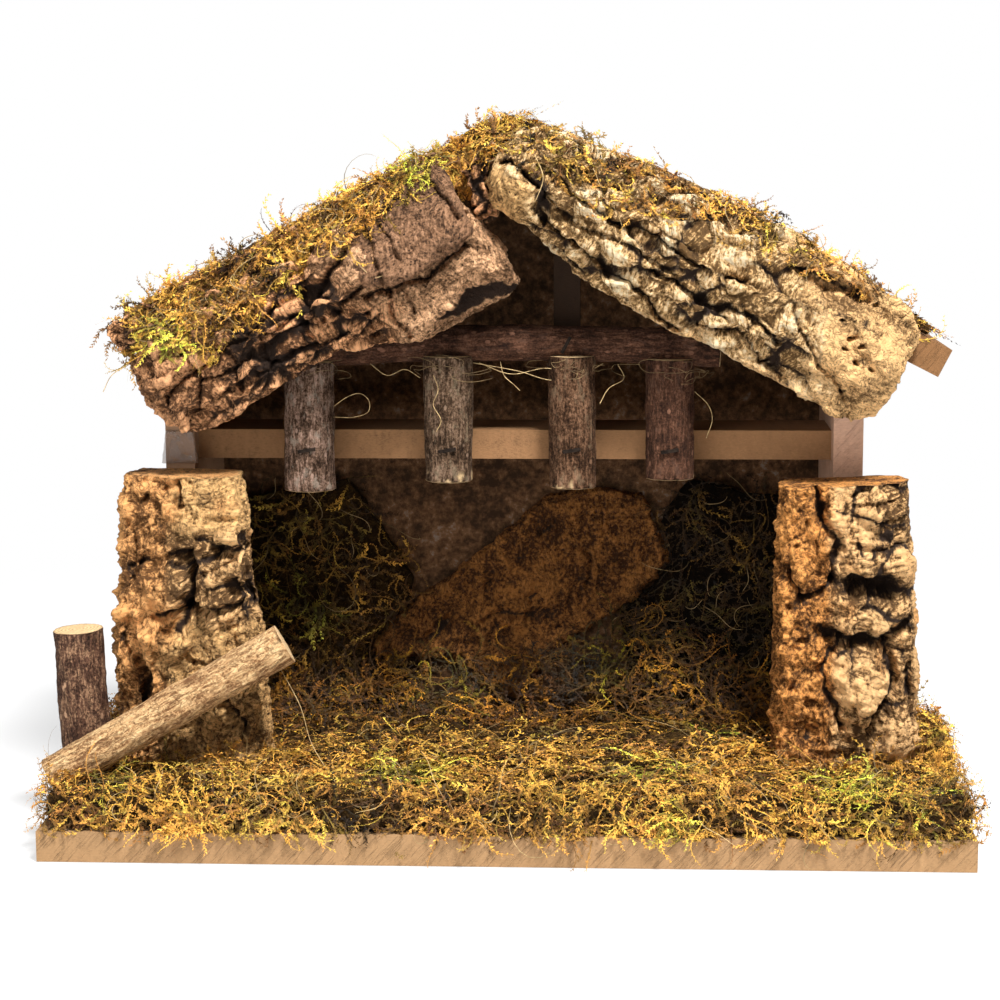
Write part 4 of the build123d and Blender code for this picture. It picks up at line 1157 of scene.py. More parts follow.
def frond_arrays(rng, plan):
    """Feathered fronds as points and four-cornered faces, with each point's frond and share along it."""
    count = len(plan.roots)
    side = unit(np.cross(plan.normals, plan.heading))
    bend = rng.normal(0, plan.bend, count)
    sway = rng.uniform(0, 6.28, count)
    rise = rng.normal(plan.lift, plan.spread, count)
    droop = rng.uniform(1.2, 2.4, count)
    place = plan.roots.copy()
    stem, ways = [place], []
    for step in range(STEM_STEPS):
        share = step / STEM_STEPS
        turn = bend * share + 0.4 * np.sin(sway + 6 * share)
        up = rise * (1 - droop * share)
        way = np.cos(turn)[:, None] * plan.heading + np.sin(turn)[:, None] * side
        way = np.cos(up)[:, None] * way + np.sin(up)[:, None] * plan.normals
        place = place + way * (plan.lengths / STEM_STEPS)[:, None]
        stem.append(place)
        ways.append(way)
    ways.append(ways[-1])
    points, faces, owner, along = [], [], [], []
    ids = np.arange(count)
    base = 0
    width = 0.2 * MM
    for step in range(STEM_STEPS + 1):
        flank = unit(np.cross(ways[step], plan.normals))
        taper = width * (1.15 - step / STEM_STEPS)
        points += [stem[step] - flank * taper, stem[step] + flank * taper]
        owner += [ids, ids]
        along += [np.full(count, step / STEM_STEPS)] * 2
        if step:
            row = base + ids
            faces.append(np.stack([row - 2 * count, row - count, row + count, row], axis=1))
        base += 2 * count
    for step in range(1, STEM_STEPS + 1) if plan.leafy else ():
        share = step / STEM_STEPS
        size = plan.leaf * (0.55 + 0.75 * math.sin(math.pi * (0.12 + 0.75 * share)))
        flank = unit(np.cross(ways[step], plan.normals))
        for hand in (1, -1):
            spread = rng.uniform(0.35, 0.9, count)[:, None]
            curl = rng.normal(0.25, 0.4, count)[:, None]
            way = unit(ways[step] * 0.8 + hand * flank * spread + plan.normals * curl)
            long = (size * rng.uniform(0.65, 1.5, count))[:, None]
            broad = unit(np.cross(way, plan.normals + 0.5 * flank * hand)) * long * 0.2
            foot = stem[step] - ways[step] * (plan.lengths / STEM_STEPS * rng.uniform(0.2, 1, count))[:, None]
            points += [foot, foot + way * long * 0.4 + broad, foot + way * long - plan.normals * long * 0.15]
            points += [foot + way * long * 0.4 - broad]
            owner += [ids] * 4
            along += [np.full(count, share)] * 4
            row = base + ids
            faces.append(np.stack([row, row + count, row + 2 * count, row + 3 * count], axis=1))
            base += 4 * count
    return np.concatenate(points), np.concatenate(faces), np.concatenate(owner), np.concatenate(along)


def frond_mesh(name, rng, plans):
    """One mesh of fronds with a tint on every point and a map that gives each frond its own spot."""
    points, faces, tints, spots = [], [], [], []
    total = sum(len(plan.roots) for plan in plans)
    across = math.ceil(math.sqrt(total))
    corners = np.array([(0.12, 0.06), (0.88, 0.06), (0.88, 0.2), (0.12, 0.2)])
    offset, first = 0, 0
    for plan in plans:
        new_points, new_faces, owner, along = frond_arrays(rng, plan)
        corner = new_faces.ravel()
        number = owner[corner] + first
        hop = np.tile(corners, (len(new_faces), 1))
        hop[:, 1] += along[corner] * 0.7
        spots.append((np.stack([number % across, number // across], axis=1) + hop) / across)
        # Each frond darkens towards its root: partly the older stem's own colour, partly painted shade deep
        # in the mat.
        tints.append(plan.tints[owner] * (0.1 + 1.3 * along**1.15)[:, None])
        points.append(new_points)
        faces.append(new_faces + offset)
        offset += len(new_points)
        first += len(plan.roots)
    placed = bent_back(np.concatenate(points))
    room = (np.abs(placed[:, 0]) < WALL_REACH) & (placed[:, 2] < ROOM_TOP)
    placed[room, 1] = np.minimum(placed[room, 1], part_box("back_panel")[0][1] - 0.2 * MM)
    mesh = mesh_from(name, placed, np.concatenate(faces))
    tint = np.concatenate(tints)
    set_colour(mesh, "tint", tint * np.minimum(1, BRIGHTEST / tint.max(axis=1, keepdims=True)))
    layer = mesh.uv_layers.new(name="OFBake")
    layer.data.foreach_set("uv", np.concatenate(spots).astype(np.float32).ravel())
    return mesh


def scatter(rng, mesh, count, keep):
    """Random places on a mesh's faces and their normals, as often as keep(points, normals) says."""
    mesh.calc_loop_triangles()
    corners = np.empty(len(mesh.loop_triangles) * 3, dtype=np.int32)
    mesh.loop_triangles.foreach_get("vertices", corners)
    points, normals = node_arrays(mesh)
    corners = corners.reshape(-1, 3)
    a, b, c = (points[corners[:, k]] for k in range(3))
    area = np.linalg.norm(np.cross(b - a, c - a), axis=1) * keep((a + b + c) / 3, normals[corners[:, 0]])
    pick = rng.choice(len(corners), count, p=area / area.sum())
    u, v = rng.uniform(0, 1, (2, count))
    flip = u + v > 1
    u[flip], v[flip] = 1 - u[flip], 1 - v[flip]
    return a[pick] + (b - a)[pick] * u[:, None] + (c - a)[pick] * v[:, None], normals[corners[pick, 0]]


def headings(rng, normals, lean):
    """Random directions along the surface, drawn towards lean."""
    way = rng.normal(0, 1, normals.shape) + np.array(lean)
    return unit(way - normals * np.sum(way * normals, axis=1)[:, None])


def fresh_patches(roots, patches):
    """How fresh the moss is: near 1 in the middle of each patch (x, y, z, radius in metres)."""
    fresh = np.full(len(roots), -0.2)
    for *middle, radius in patches:
        gap = np.linalg.norm(roots - np.array(middle), axis=1)
        fresh = np.maximum(fresh, 1.0 - (gap / radius) ** 2)
    return fresh


def frond_tints(rng, roots, moss, fresh, dry):
    """A colour for each frond: drifts of gold, brown and olive, and fresh green where fresh is high."""
    gold, brown, olive, green = (
        np.array(tint) for tint in (moss.gold_tint, moss.brown_tint, moss.olive_tint, moss.green_tint)
    )
    drift = rough_noise(roots / 0.017, 101, 3) + rng.normal(0, 0.4, len(roots))
    dull = rough_noise(roots / 0.03, 131, 3) + rng.normal(0, 0.35, len(roots))
    tint = gold + (brown - gold) * ease(-0.1, 0.6, drift + dry)[:, None]
    tint = tint + (olive - tint) * ease(0.1, 0.65, dull)[:, None]
    tint = tint + (green - tint) * np.clip(fresh + rng.normal(0, 0.2, len(roots)), 0, 1)[:, None]
    glow = np.clip(rng.lognormal(0, 0.7, len(roots)), 0.12, 3.0)
    return tint * glow[:, None] ** (1.0, 1.12, 1.0)


def leafy_fronds(
    rng, moss, roots, normals, lean, patches, size=1.0, lift=0.3, bright=1.0, spread=0.3, dry=0.0, loft=3 * MM
):
    """Feathered fronds on given places, in clumps that stand up; the clumps are painted paler and the hollows
    between them darker, as painted light and shade.
    """
    lengths = moss.frond * size * rng.lognormal(0, 0.3, len(roots))
    clump = rough_noise(roots / 0.0075, 151, 3)
    tints = frond_tints(rng, roots, moss, fresh_patches(roots, patches), dry)
    # Painted light and shade: fronds on raised clumps are paler, those in hollows darker.
    tints *= np.clip(1 + 2.0 * clump, 0.06, 2.8)[:, None] * bright
    leaf = moss.leaf * rng.choice((0.7, 1.2), len(roots), p=(0.45, 0.55))
    stood = roots + normals * (clump * loft)[:, None]
    return Fronds(stood, normals, headings(rng, normals, lean), lengths, tints, leaf, lift, spread)


def bare_fibres(rng, moss, roots, normals, lean, size=1.6):
    """Dry leafless stems on given places."""
    lengths = moss.frond * size * rng.lognormal(0, 0.35, len(roots))
    straw = np.array(moss.straw_tint) * rng.uniform(0.3, 1.2, len(roots))[:, None]
    ways = headings(rng, normals, lean)
    return Fronds(roots, normals, ways, lengths, straw, moss.leaf, bend=2.4, leafy=False)


def moss_look():
    """Dried moss fronds, tinted one by one."""
    look = Look("moss_fronds")
    fleck = look.step(look.noise(look.place(), 800, 2), 0.35, 0.6)
    tone = look.mix((1 - fleck) * 0.45, look.attribute("tint", 0), (0.05, 0.025, 0.005))
    return look.done(Base_Color=tone, Roughness=0.7, Specular_IOR_Level=0.25)


# Tones of the thatch, nearly black at the low end: partly the mat's own dark brown, partly painted shade deep
# among the fronds.
THATCH_TONES = (
    (0.4, (0.01, 0.005, 0.0015)),
    (0.52, (0.045, 0.022, 0.005)),
    (0.63, (0.15, 0.08, 0.018)),
    (0.76, (0.34, 0.2, 0.05)),
)


def thatch_look(name, bright):
    """The dark tangle under the fronds: partly the mat's own dark brown, partly painted shade among the
    fronds.
    """
    look = Look(name)
    tangle = look.noise(look.place(), 420, 6, 0.75, 1.5)
    drift = look.noise(look.place(), 60, 3)
    stops = ((spot, dimmed(tone, bright)) for spot, tone in THATCH_TONES)
    tone = look.ramp(tangle * 0.75 + drift * 0.25, *stops)
    relief = look.bump(tangle, 1.2 * MM)
    return look.done(Base_Color=tone, Roughness=0.9, Specular_IOR_Level=0.1, Normal=relief)


def thatch_mesh(node, voxel, swell, seed):
    """A lumpy mat from a moss node."""
    mesh = remeshed(node, voxel, 4)
    points, normals = node_arrays(mesh)
    lumps = 0.7 * rough_noise(points / 0.014, seed, 3) + 0.5 * rough_noise(points / 0.005, seed + 5, 3)
    set_points(mesh, bent_back(points + normals * (swell * (lumps - 0.4))[:, None]))
    return mesh


class MossWork:
    """Shared work of the moss operators."""

    def mat(self, node, voxel, swell, seed, bright=1.0):
        """The thatch that stands for a moss node."""
        thatch = thatch_mesh(node, voxel, swell, seed)
        show(thatch, node + "_thatch", thatch_look(node + "_thatch", bright), (node,))
        return thatch

    def grow(self, name, rng, *plans):
        """One piece of fronds."""
        fronds = bpy.data.materials.get("moss_fronds") or moss_look()
        show(frond_mesh(name, rng, plans), name, fronds)


# How many leafy fronds and bare stems grow in each place
YARD_FRONDS, YARD_STEMS = 2450, 200
ROOM_FRONDS, ROOM_STEMS = 1500, 90
BANK_FRONDS = 1300
EDGE_FRONDS = 700
CLUMP_FRONDS = 420
WALL_FRONDS, WALL_STEMS = 750, 30

# Patches of fresh green moss: middle and radius in metres
YARD_PATCHES = (
    (-0.035, -0.045, 0.022, 0.016), (0.05, -0.035, 0.022, 0.013), (0.112, -0.055, 0.022, 0.018),
    (0.136, -0.06, 0.02, 0.01), (0.055, -0.069, 0.016, 0.006), (-0.125, -0.055, 0.02, 0.01),
    (0.07, 0.02, 0.022, 0.014),
)  # fmt: skip
ROOM_PATCHES = ((-0.025, 0.045, 0.035, 0.014), (0.03, 0.048, 0.045, 0.018), (0.056, 0.052, 0.055, 0.012))
WALL_PATCHES = ((-0.075, 0.055, 0.06, 0.012),)
ROOF_PATCHES = ((-0.03, -0.02, 0.222, 0.009), (0.004, -0.02, 0.232, 0.006), (-0.112, -0.022, 0.164, 0.009))

# Top of the bank of moss against the back panel, in mm: places from left to right, and its height at each
BANK_TOP = ((-105, -80, -36, -7, 22, 44, 66, 88, 105), (26, 30, 42, 41, 45, 58, 54, 30, 26))
# Where wisps hang over the base board's front edge, from left to right
EDGE_TUFTS = (-0.102, -0.078, -0.007, 0.012, 0.018, 0.055, 0.127)


def in_room(points):
    """Which places lie between the side walls."""
    return (points[:, 1] >= 0.0) & (np.abs(points[:, 0]) < WALL_REACH)


def on_top(points, normals):
    """Which places lie on the upper side of the ground's moss."""
    return (normals[:, 2] > -0.3) * (points[:, 2] > BASE_TOP + 1 * MM) * 1.0


def indoors(points, normals):
    """1 on the ground's moss between the walls."""
    return in_room(points) * on_top(points, normals)


def yard(points, normals):
    """1 on the ground's moss before and beside the walls."""
    return ~in_room(points) * on_top(points, normals)


class STABLE_OT_ground_moss(bpy.types.Operator, MossWork):
    """Lays the moss over the base board"""

    bl_idname = "stable.ground_moss"
    bl_label = "Ground moss"

    def execute(self, context):
        moss = context.scene.stable_moss
        rng = np.random.default_rng(7)
        mat = self.mat("ground_moss", 2.0 * MM, 5 * MM, 3, 0.7)
        for number in (1, 2, 3):
            roots, normals = scatter(rng, mat, YARD_FRONDS, yard)
            bare, bare_normals = scatter(rng, mat, YARD_STEMS, yard)
            self.grow(
                f"yard_moss_{number}", rng,
                leafy_fronds(rng, moss, roots, normals, (0, -0.2, 0), YARD_PATCHES, 1.3, bright=1.1),
                bare_fibres(rng, moss, bare, bare_normals, (0, -0.2, 0)),
            )  # fmt: skip
        roots, normals = scatter(rng, mat, ROOM_FRONDS, indoors)
        heap, heap_normals = self.heap(rng, BANK_FRONDS)
        roots = np.concatenate([roots, heap])
        normals = np.concatenate([normals, heap_normals])
        bare, bare_normals = scatter(rng, mat, ROOM_STEMS, indoors)
        outward = 1 - ease(0.0, 0.032, roots[:, 1] + rng.normal(0, 0.006, len(roots)))
        # Painted shade: the moss is darker and warmer the further in under the roof it lies.
        light = INDOOR_PAINTED_SHADE + (0.8 - INDOOR_PAINTED_SHADE) * outward[:, None]
        patches = YARD_PATCHES + ROOM_PATCHES
        self.grow(
            "indoor_moss", rng,
            leafy_fronds(rng, moss, roots, normals, (0, -0.3, 0), patches, 1.4, bright=light),
            bare_fibres(rng, moss, bare, bare_normals, (0, 0, 0)),
        )  # fmt: skip
        edge, edge_normals = self.front_edge(rng, EDGE_FRONDS)
        clump, clump_normals = self.clump(rng, CLUMP_FRONDS)
        self.grow(
            "edge_moss", rng,
            leafy_fronds(rng, moss, edge, edge_normals, (0, -0.6, -0.6), YARD_PATCHES, 0.95, 0.1),
            leafy_fronds(rng, moss, clump, clump_normals, (0, -0.3, 0.3), YARD_PATCHES, 0.8),
        )  # fmt: skip
        return {"FINISHED"}

    def heap(self, rng, count):
        """Places on the bank of moss against the back panel, and their normals."""
        x = rng.uniform(-0.105, 0.105, count)
        share = rng.uniform(0, 1, count) ** 0.8
        top = np.interp(x / MM, *BANK_TOP) * MM
        top = top + 4 * MM * rough_noise(np.stack([x / 0.009, x * 0, x * 0], axis=1), 63, 3)
        points = np.stack([x, 0.03 + 0.027 * share, 0.02 + (top - 0.02) * share**1.4], axis=1)
        return points, unit(np.stack([rng.normal(0, 0.3, count), -0.4 - share, 1.1 - 0.5 * share], axis=1))

    def front_edge(self, rng, count):
        """Places along the base board's front edge where wisps hang over, and their normals."""
        tufts = rng.choice(EDGE_TUFTS, count) + rng.normal(0, 0.006, count)
        x = np.where(rng.uniform(0, 1, count) < 0.45, tufts, rng.uniform(-0.147, 0.147, count))
        points = np.stack([x, np.full(count, -0.0675), rng.uniform(0.0125, 0.017, count)], axis=1)
        return points, np.tile((0, -0.8, 0.6), (count, 1))

    def clump(self, rng, count):
        """Places on the tuft of moss beside the right pillar, and their normals."""
        way = unit(rng.normal(0, 1, (count, 3)) + (0.3, -0.5, 0.2))
        way[:, 2] = np.abs(way[:, 2])
        return np.array((0.1425, -0.012, 0.014)) + way * (0.005, 0.012, 0.022), way


class STABLE_OT_wall_moss(bpy.types.Operator, MossWork):
    """Sets the moss on the back panel"""

    bl_idname = "stable.wall_moss"
    bl_label = "Wall moss"

    def execute(self, context):
        moss = context.scene.stable_moss
        rng = np.random.default_rng(17)
        # The back panel's moss and thatch are darkened, the right much more than the left: painted shade
        # under the roof.
        for node, bright in (("left_wall_moss", 0.4), ("right_wall_moss", 0.1)):
            mat = self.mat(node, 1.8 * MM, 3 * MM, 9, bright)
            roots, normals = scatter(rng, mat, WALL_FRONDS, lambda p, n: (n[:, 1] < 0.2) * 1.0)
            bare, bare_normals = scatter(rng, mat, WALL_STEMS, lambda p, n: (n[:, 1] < 0.0) * 1.0)
            self.grow(
                node + "_fronds", rng,
                leafy_fronds(rng, moss, roots, normals, (0, 0, -0.7), WALL_PATCHES, 1.3, bright=bright),
                bare_fibres(rng, moss, bare, bare_normals, (0, 0, -0.7)),
            )  # fmt: skip
        return {"FINISHED"}


# How far the moss comes down over each fascia, in mm: places down the slope, and the reach at each
MOSS_REACH = {
    "left": (
        (20, 26, 36, 45, 60, 66, 73, 80, 87, 98, 107, 115, 127, 138, 146),
        (2, 3, 5, 6, 12, 8, 4, 9, 14, 15, 17, 19, 18, 10, 4),
    ),
    "right": ((0, 15, 30, 43, 52, 62, 72, 85, 100, 130), (8, 9, 9, 10, 6, 4, -3, -5, -6, -6)),
}
# Side, its sign, how many fronds grow on the board, how dry they are, and how many grow on which bark
ROOF_SIDES = (
    ("left", -1, 2200, 0.1, (("left_bark_fascia", 1900), ("left_bark_shell", 420), ("ridge_bark_chip", 170))),
    ("right", 1, 2000, 0.35, (("right_bark_fascia", 700),)),
)
STRIP_FRONDS = 180
# Stretches of a roof board's front edge with tufts, in mm down the slope, and the fronds on each mm
BARE_EDGES = {"left": ((4, 28), (140, 149)), "right": ((136, 146),)}
TUFT_FRONDS = 14


class STABLE_OT_roof_moss(bpy.types.Operator, MossWork):
    """Lays the moss on the roof boards and over the tops of the bark"""

    bl_idname = "stable.roof_moss"
    bl_label = "Roof moss"

    def execute(self, context):
        moss = context.scene.stable_moss
        rng = np.random.default_rng(29)
        for side, sign, grown, dry, carriers in ROOF_SIDES:
            node = side + "_roof_moss"
            mat = self.mat(node, 1.8 * MM, 3 * MM, 13)
            roots, normals = scatter(rng, mat, grown, lambda p, n: (n[:, 2] > 0.0) * 1.0)
            start, axes = slope_axes(sign)
            normals = unit(normals * 0.4 + axes[1])

            def near_top(points, normals):
                grain = (points - start) @ axes.T
                ragged = rough_noise(grain / 0.011, 77, 3) * 5
                reach = np.interp(grain[:, 0] / MM, *MOSS_REACH[side])
                return (grain[:, 1] / MM > ragged - reach) * (grain[:, 2] > 3 * MM) * 1.0

            lean = (0.4 * sign, -0.2, -0.4)

            def fronds(roots, normals, *shape, lean=lean, **others):
                return leafy_fronds(rng, moss, roots, normals, lean, ROOF_PATCHES, *shape, dry=dry, **others)

            plans = [fronds(roots, normals, 1.1, -0.05, 1.1, 0.1, loft=1.5 * MM)]
            plans.append(fronds(*self.board_top(rng, STRIP_FRONDS, sign), 1.1, 0.0, 1.0, 0.15, loft=0.0))
            spread = []
            for carrier, count in carriers:
                carved = bpy.data.objects[carrier + "_carved"].data
                over, over_normals = scatter(rng, carved, count, near_top)
                over_normals = unit(over_normals * 0.5 + axes[1] * 0.4 + axes[2] * 0.3)
                spread.append(fronds(over, over_normals, 0.95, 0.0, 1.1, 0.15, loft=1.5 * MM))
                spread.append(bare_fibres(rng, moss, over[::16], over_normals[::16], lean, 1.2))
            for first, last in BARE_EDGES[side]:
                tuft = self.board_tuft(rng, TUFT_FRONDS * (last - first), sign, first, last)
                plans.append(fronds(*tuft, 0.9, 0.1, lean=(0, 0, -0.6)))
            self.grow(node + "_fronds", rng, *plans)
            self.grow(side + "_bark_moss_fronds", rng, *spread)
        return {"FINISHED"}

    def board_top(self, rng, count, sign):
        """Places on a roof board's top along its front and along the ridge, and their normals."""
        start, axes = slope_axes(sign)
        down = np.concatenate([rng.uniform(3, 140, count), rng.uniform(0, 6, count)])
        back = np.concatenate([rng.uniform(0, 5, count), rng.uniform(2, 76, count)])
        points = start + (down[:, None] * axes[0] + 0.8 * axes[1] - back[:, None] * axes[2]) * MM
        return points, np.tile(axes[1], (2 * count, 1))

    def board_tuft(self, rng, count, sign, first, last):
        """Places on a roof board's front edge, from and to in mm down the slope, and their normals."""
        start, axes = slope_axes(sign)
        down, up = rng.uniform(first, last, count), rng.uniform(-9, 1, count)
        points = start + (down[:, None] * axes[0] + up[:, None] * axes[1] + 0.5 * axes[2]) * MM
        return points, np.tile(axes[2], (count, 1))


# Fibres and glue

# Dry fibres that hang loose, as places in mm from where each is held
LOOSE_FIBRES = (
    ((-60.8, 2, 139), (-55.7, 0, 142.6), (-51.3, -1, 143.9), (-48.3, -1, 141.6), (-48.7, 0, 137.5),
     (-53.8, 0, 135.7), (-60.8, 2, 135.5)),
    ((-26, -4, 150.5), (-24.3, -5.6, 145.7), (-26, -5.2, 140.6), (-23.4, -5.8, 135.5), (-25.1, -4.6, 131.4)),
    ((-3.8, 3, 154.4), (-2.5, 1, 150), (0.9, 0, 146.9), (2.9, 1, 144.8)),
    ((-11, 3, 154), (0, 0, 150.5), (12, 0, 152.5), (22, 0, 149.8), (31, 3, 153.8)),
    ((-13, 3, 154), (2, 1, 151.5), (15, 0, 148.5), (27, 2, 154)),
    ((36, 2, 153.6), (38, 0, 149), (33, -3, 146), (30, -4, 141)),
    ((62, 3, 144.3), (66.5, 2, 139.9), (67.9, 2, 134.8), (65.9, 2, 128.6)),
    ((-48, 3, 153.6), (-42, 0, 150), (-36, 0, 152), (-31, 2, 149)),
    ((-5, -19, 228), (-0.4, -25, 225.6), (4.4, -26, 226)),
    ((9, -24, 224), (11.8, -28.5, 217), (9.9, -28.5, 210.6), (8.3, -26, 208)),
    ((-49.9, -27, 197), (-48.3, -32.5, 190.6), (-43.2, -33.5, 185.4), (-39.3, -33, 185.7)),
    ((-127, -14, 155), (-132.6, -16, 151.6), (-135.8, -16, 145.9)),
    ((-78, -24, 56), (-70, -27, 42), (-66, -30, 30), (-60, -36, 22)),
)  # fmt: skip


FIBRE_SIDES = 6
# How many fibres are caught at each stub, and how many places each has
CAUGHT_FIBRES = 7
CAUGHT_PLACES = 6


def fibre_mesh(name, paths, radius):
    """Thin round fibres along curves through given places."""
    points, faces = [], []
    turn = np.linspace(0, 2 * np.pi, FIBRE_SIDES, endpoint=False)
    count = 0
    for path in paths:
        knots = np.array(path) * MM
        share = np.linspace(0, len(knots) - 1, 8 * len(knots))
        low = np.clip(np.floor(share).astype(int), 0, len(knots) - 2)
        part = (share - low)[:, None]
        slope = np.gradient(knots, axis=0)
        way = part**2 * (3 - 2 * part)
        swing = slope[low] * (1 - part) - slope[low + 1] * part
        line = knots[low] * (1 - way) + knots[low + 1] * way + part * (1 - part) * swing
        tangent = unit(np.gradient(line, axis=0))
        side = unit(np.cross(tangent, (0.31, 0.83, 0.46)))
        other = np.cross(tangent, side)
        ring = np.cos(turn)[:, None] * side[:, None] + np.sin(turn)[:, None] * other[:, None]
        points.append((line[:, None] + ring * radius).reshape(-1, 3))
        rows = np.arange(count, count + len(line) * FIBRE_SIDES).reshape(-1, FIBRE_SIDES)
        faces.append(tube_faces(rows))
        count += rows.size
    return mesh_from(name, np.concatenate(points), np.concatenate(faces))


def tangle_paths(rng):
    """Fine curled fibres caught where the stubs meet the lintel, as places in mm."""
    paths = []
    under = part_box("lintel_branch")[0][2] / MM
    for number in (1, 2, 3, 4):
        low, high = (np.array(corner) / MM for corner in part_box(f"hanging_stub_{number}"))
        first = (low[0] - 4, low[1] - 0.6, under - 2)
        last = (high[0] + 8, low[1] - 0.3, under + 3)
        for _ in range(CAUGHT_FIBRES):
            middle = rng.uniform(first, last)
            start = rng.uniform(0, 6.28)
            turn = start + np.arange(CAUGHT_PLACES) * rng.uniform(0.4, 0.9) * rng.choice((-1, 1))
            reach = rng.uniform(2.5, 6.5)
            wave = rng.normal(0, 0.5, (CAUGHT_PLACES, 3))
            loop = np.stack([np.cos(turn) * reach * 1.4, turn * 0, np.sin(turn) * reach * 0.4], axis=1)
            path = middle + loop + wave
            aside = path[:, 0] - (low[0] + high[0]) / 2
            path[:, 1] = np.minimum(path[:, 1], low[1] - 0.3) + 0.04 * aside**2
            paths.append(path)
    return paths


class STABLE_OT_fibres(bpy.types.Operator):
    """Hangs the loose dry fibres from the branches, the bark and the log"""

    bl_idname = "stable.fibres"
    bl_label = "Loose fibres"

    def execute(self, context):
        tint = tuple(context.scene.stable_moss.straw_tint)
        dry = self.fibre_look("dry_fibre", 500, (0.35, shade(tint, 0.45)), (0.6, tint))
        show(fibre_mesh("loose_fibres", LOOSE_FIBRES, 0.13 * MM), "loose_fibres", dry)
        brown = self.fibre_look("brown_fibre", 300, (0.35, shade(tint, 0.12)), (0.65, shade(tint, 0.5)))
        tangle = tangle_paths(np.random.default_rng(43))
        show(fibre_mesh("caught_fibres", tangle, 0.08 * MM), "caught_fibres", brown)
        return {"FINISHED"}

    def fibre_look(self, name, scale, *stops):
        """A dry stem in drifting colours."""
        look = Look(name)
        return look.done(Base_Color=look.ramp(look.noise(look.place(), scale, 3), *stops), Roughness=0.7)


class STABLE_OT_glue(bpy.types.Operator):
    """Makes the smears and beads of hot glue"""

    bl_idname = "stable.glue"
    bl_label = "Hot glue"

    def execute(self, context):
        look = Look("hot_glue")
        tint = tuple(context.scene.stable_boards.glue_tint)
        haze = look.bump(look.noise(look.place(), 260, 3), 0.4 * MM)
        glue = look.done(Base_Color=tint, Roughness=0.06, Alpha=0.4, Coat_Weight=1.0, Normal=haze)
        for node in ("wall_glue", "log_glue"):
            mesh = remeshed(node, 0.4 * MM, 6)
            points, normals = node_arrays(mesh)
            swell = 0.3 * MM * rough_noise(points / 0.004, 5, 3)
            set_points(mesh, points + normals * swell[:, None])
            show(mesh, node + "_smear", glue, (node,))
        return {"FINISHED"}


# Stage

# The camera's yaw, pitch and roll in degrees, and its place
CAMERA_TURNS = (2.929, 8.787, -0.212)
CAMERA_PLACE = (0.0373264, -0.8059855, 0.2321973)
# Each lamp's place, what it is aimed at and its size
KEY_LAMP = ((0.3, -0.62, 1.2), (0.0, -0.03, 0.1), 0.25)
FILL_LAMP = ((-0.7, -1.1, 0.5), (0.0, 0.0, 0.1), 0.7)
# How strongly the world lights the stable, and how far the floor reaches from its middle
SKY_LIGHT = 0.19
FLOOR_REACH = 4


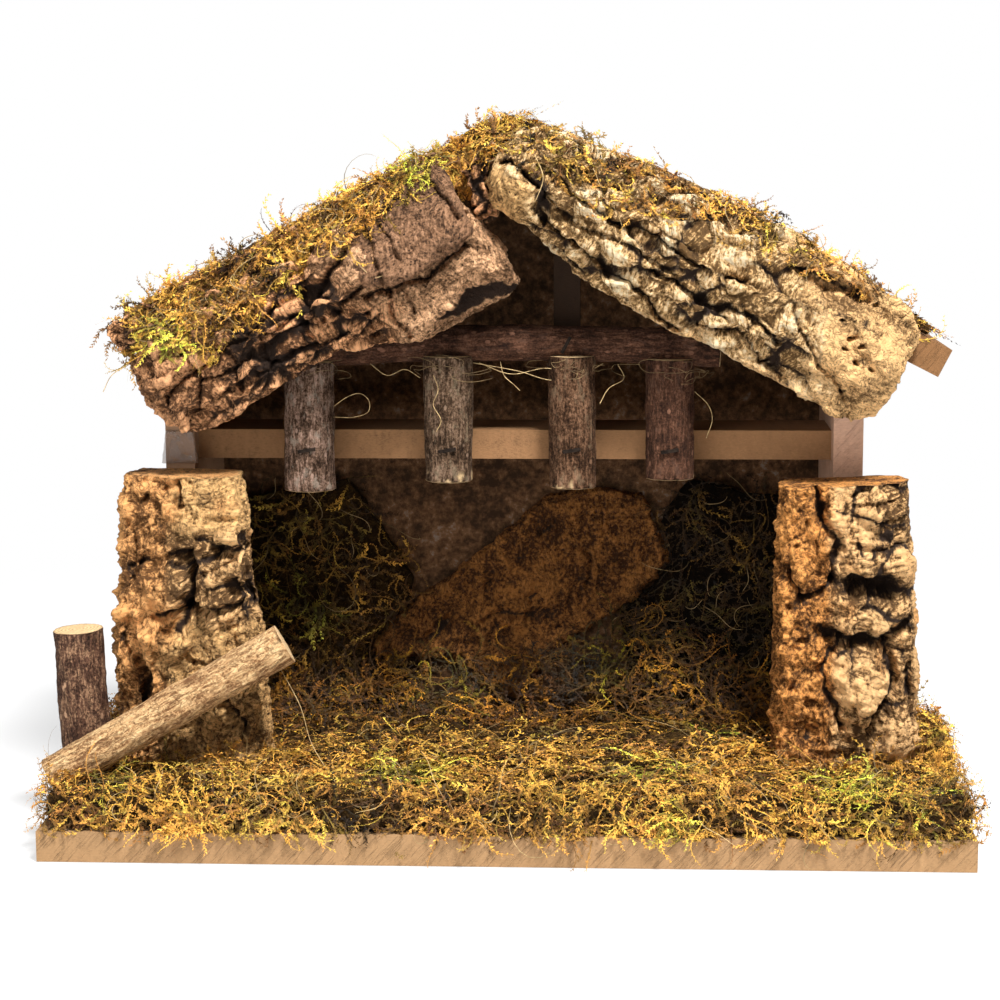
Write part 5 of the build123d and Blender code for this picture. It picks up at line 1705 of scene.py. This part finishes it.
class STABLE_OT_stage(bpy.types.Operator):
    """Sets the camera, the floor and the studio light"""

    bl_idname = "stable.stage"
    bl_label = "Stage"

    def execute(self, context):
        stage = context.scene.stable_stage
        context.scene.view_settings.view_transform = "Standard"
        self.camera(context.scene, stage.lens)
        self.floor(context.scene, tuple(stage.floor_tint))
        self.sky(context.scene)
        self.lamp("key", *KEY_LAMP, stage.key_power)
        self.lamp("fill", *FILL_LAMP, stage.fill_power)
        return {"FINISHED"}

    def camera(self, scene, focal_length):
        """The camera that sees what the photograph shows."""
        yaw, pitch, roll = (math.radians(angle) for angle in CAMERA_TURNS)
        level = Vector((math.cos(yaw), math.sin(yaw), 0))
        ahead = Vector((-math.sin(yaw), math.cos(yaw), 0))
        forward = ahead * math.cos(pitch) - Vector((0, 0, math.sin(pitch)))
        upright = level.cross(forward)
        right = level * math.cos(roll) + upright * math.sin(roll)
        up = upright * math.cos(roll) - level * math.sin(roll)
        turn = Matrix((right, up, -forward)).transposed().to_4x4()
        lens = bpy.data.cameras.new("photo_camera")
        lens.lens = focal_length
        lens.sensor_width = 36
        lens.clip_start = 0.01
        camera = bpy.data.objects.new("photo_camera", lens)
        camera.matrix_world = Matrix.Translation(CAMERA_PLACE) @ turn
        scene.collection.objects.link(camera)
        scene.camera = camera

    def floor(self, scene, tint):
        """The floor under the stable."""
        bm = bmesh.new()
        bmesh.ops.create_grid(bm, x_segments=24, y_segments=24, size=FLOOR_REACH)
        bmesh.ops.translate(bm, verts=bm.verts, vec=(0, 0, -0.2 * MM))
        floor_mesh = bpy.data.meshes.new("floor")
        bm.to_mesh(floor_mesh)
        bm.free()
        floor = bpy.data.objects.new("floor", floor_mesh)
        scene.collection.objects.link(floor)
        floor_mesh.materials.append(self.floor_look(tint))

    def sky(self, scene):
        """A world that is seen as white and lights the stable dimly."""
        scene.world = bpy.data.worlds.new("studio")
        sky = Nodes(scene.world)
        dim = sky.node("ShaderNodeBackground", {}, {0: (1, 1, 1), 1: SKY_LIGHT})
        white = sky.node("ShaderNodeBackground", {}, {0: (1, 1, 1), 1: 1.0})
        blend = sky.node("ShaderNodeMixShader", {}, {0: sky.shown(), 1: dim, 2: white})
        sky.node("ShaderNodeOutputWorld", {}, {0: blend})

    def lamp(self, name, place, target, size, power):
        """A soft square lamp aimed at a point."""
        light = bpy.data.lights.new(name, "AREA")
        light.energy = power
        light.size = size
        lamp = bpy.data.objects.new(name, light)
        lamp.location = place
        lamp.rotation_euler = (Vector(target) - Vector(place)).to_track_quat("-Z", "Y").to_euler()
        bpy.context.scene.collection.objects.link(lamp)

    def floor_look(self, tint):
        """A pale floor that the camera sees as white but for the stable's shadow."""
        look = Look("pale_floor")
        matt = look.surface(Base_Color=tint, Roughness=0.9)
        away = look.node("ShaderNodeVectorMath", {"operation": "LENGTH"}, {0: look.place()}, 1)
        glow = look.node("ShaderNodeEmission", {}, {0: (1.0, 1.0, 1.0), 1: 1.0})
        share = look.shown() * (look.step(away, 0.25, 0.6) * 0.35 + 0.65)
        return look.done(look.node("ShaderNodeMixShader", {}, {0: share, 1: matt, 2: glow}))


# Panel and registration

OPERATORS = (
    STABLE_OT_boards,
    STABLE_OT_fasteners,
    STABLE_OT_bark,
    STABLE_OT_branches,
    STABLE_OT_ground_moss,
    STABLE_OT_wall_moss,
    STABLE_OT_roof_moss,
    STABLE_OT_fibres,
    STABLE_OT_glue,
    STABLE_OT_stage,
)


class STABLE_PT_panel(bpy.types.Panel):
    """Lists the steps that dress the stable"""

    bl_idname = "STABLE_PT_panel"
    bl_label = "Nativity Stable"
    bl_space_type = "VIEW_3D"
    bl_region_type = "UI"
    bl_category = "Stable"

    def draw(self, context):
        for operator in OPERATORS:
            self.layout.operator(operator.bl_idname)
        for group in SETTINGS:
            for name in group.__annotations__:
                self.layout.prop(getattr(context.scene, SETTINGS[group]), name)


SETTINGS = {
    StableBarkSettings: "stable_bark",
    StableMossSettings: "stable_moss",
    StableBoardSettings: "stable_boards",
    StableStageSettings: "stable_stage",
}


def register():
    for group, name in SETTINGS.items():
        bpy.utils.register_class(group)
        setattr(bpy.types.Scene, name, bpy.props.PointerProperty(type=group))
    for operator in OPERATORS:
        bpy.utils.register_class(operator)
    bpy.utils.register_class(STABLE_PT_panel)


def unregister():
    bpy.utils.unregister_class(STABLE_PT_panel)
    for operator in reversed(OPERATORS):
        bpy.utils.unregister_class(operator)
    for group, name in SETTINGS.items():
        delattr(bpy.types.Scene, name)
        bpy.utils.unregister_class(group)


def main():
    """Registers the add-on and dresses the stable."""
    register()
    bpy.ops.stable.boards()
    bpy.ops.stable.fasteners()
    bpy.ops.stable.bark()
    bpy.ops.stable.branches()
    bpy.ops.stable.ground_moss()
    bpy.ops.stable.wall_moss()
    bpy.ops.stable.roof_moss()
    bpy.ops.stable.fibres()
    bpy.ops.stable.glue()
    bpy.ops.stable.stage()


if __name__ == "__main__":
    main()
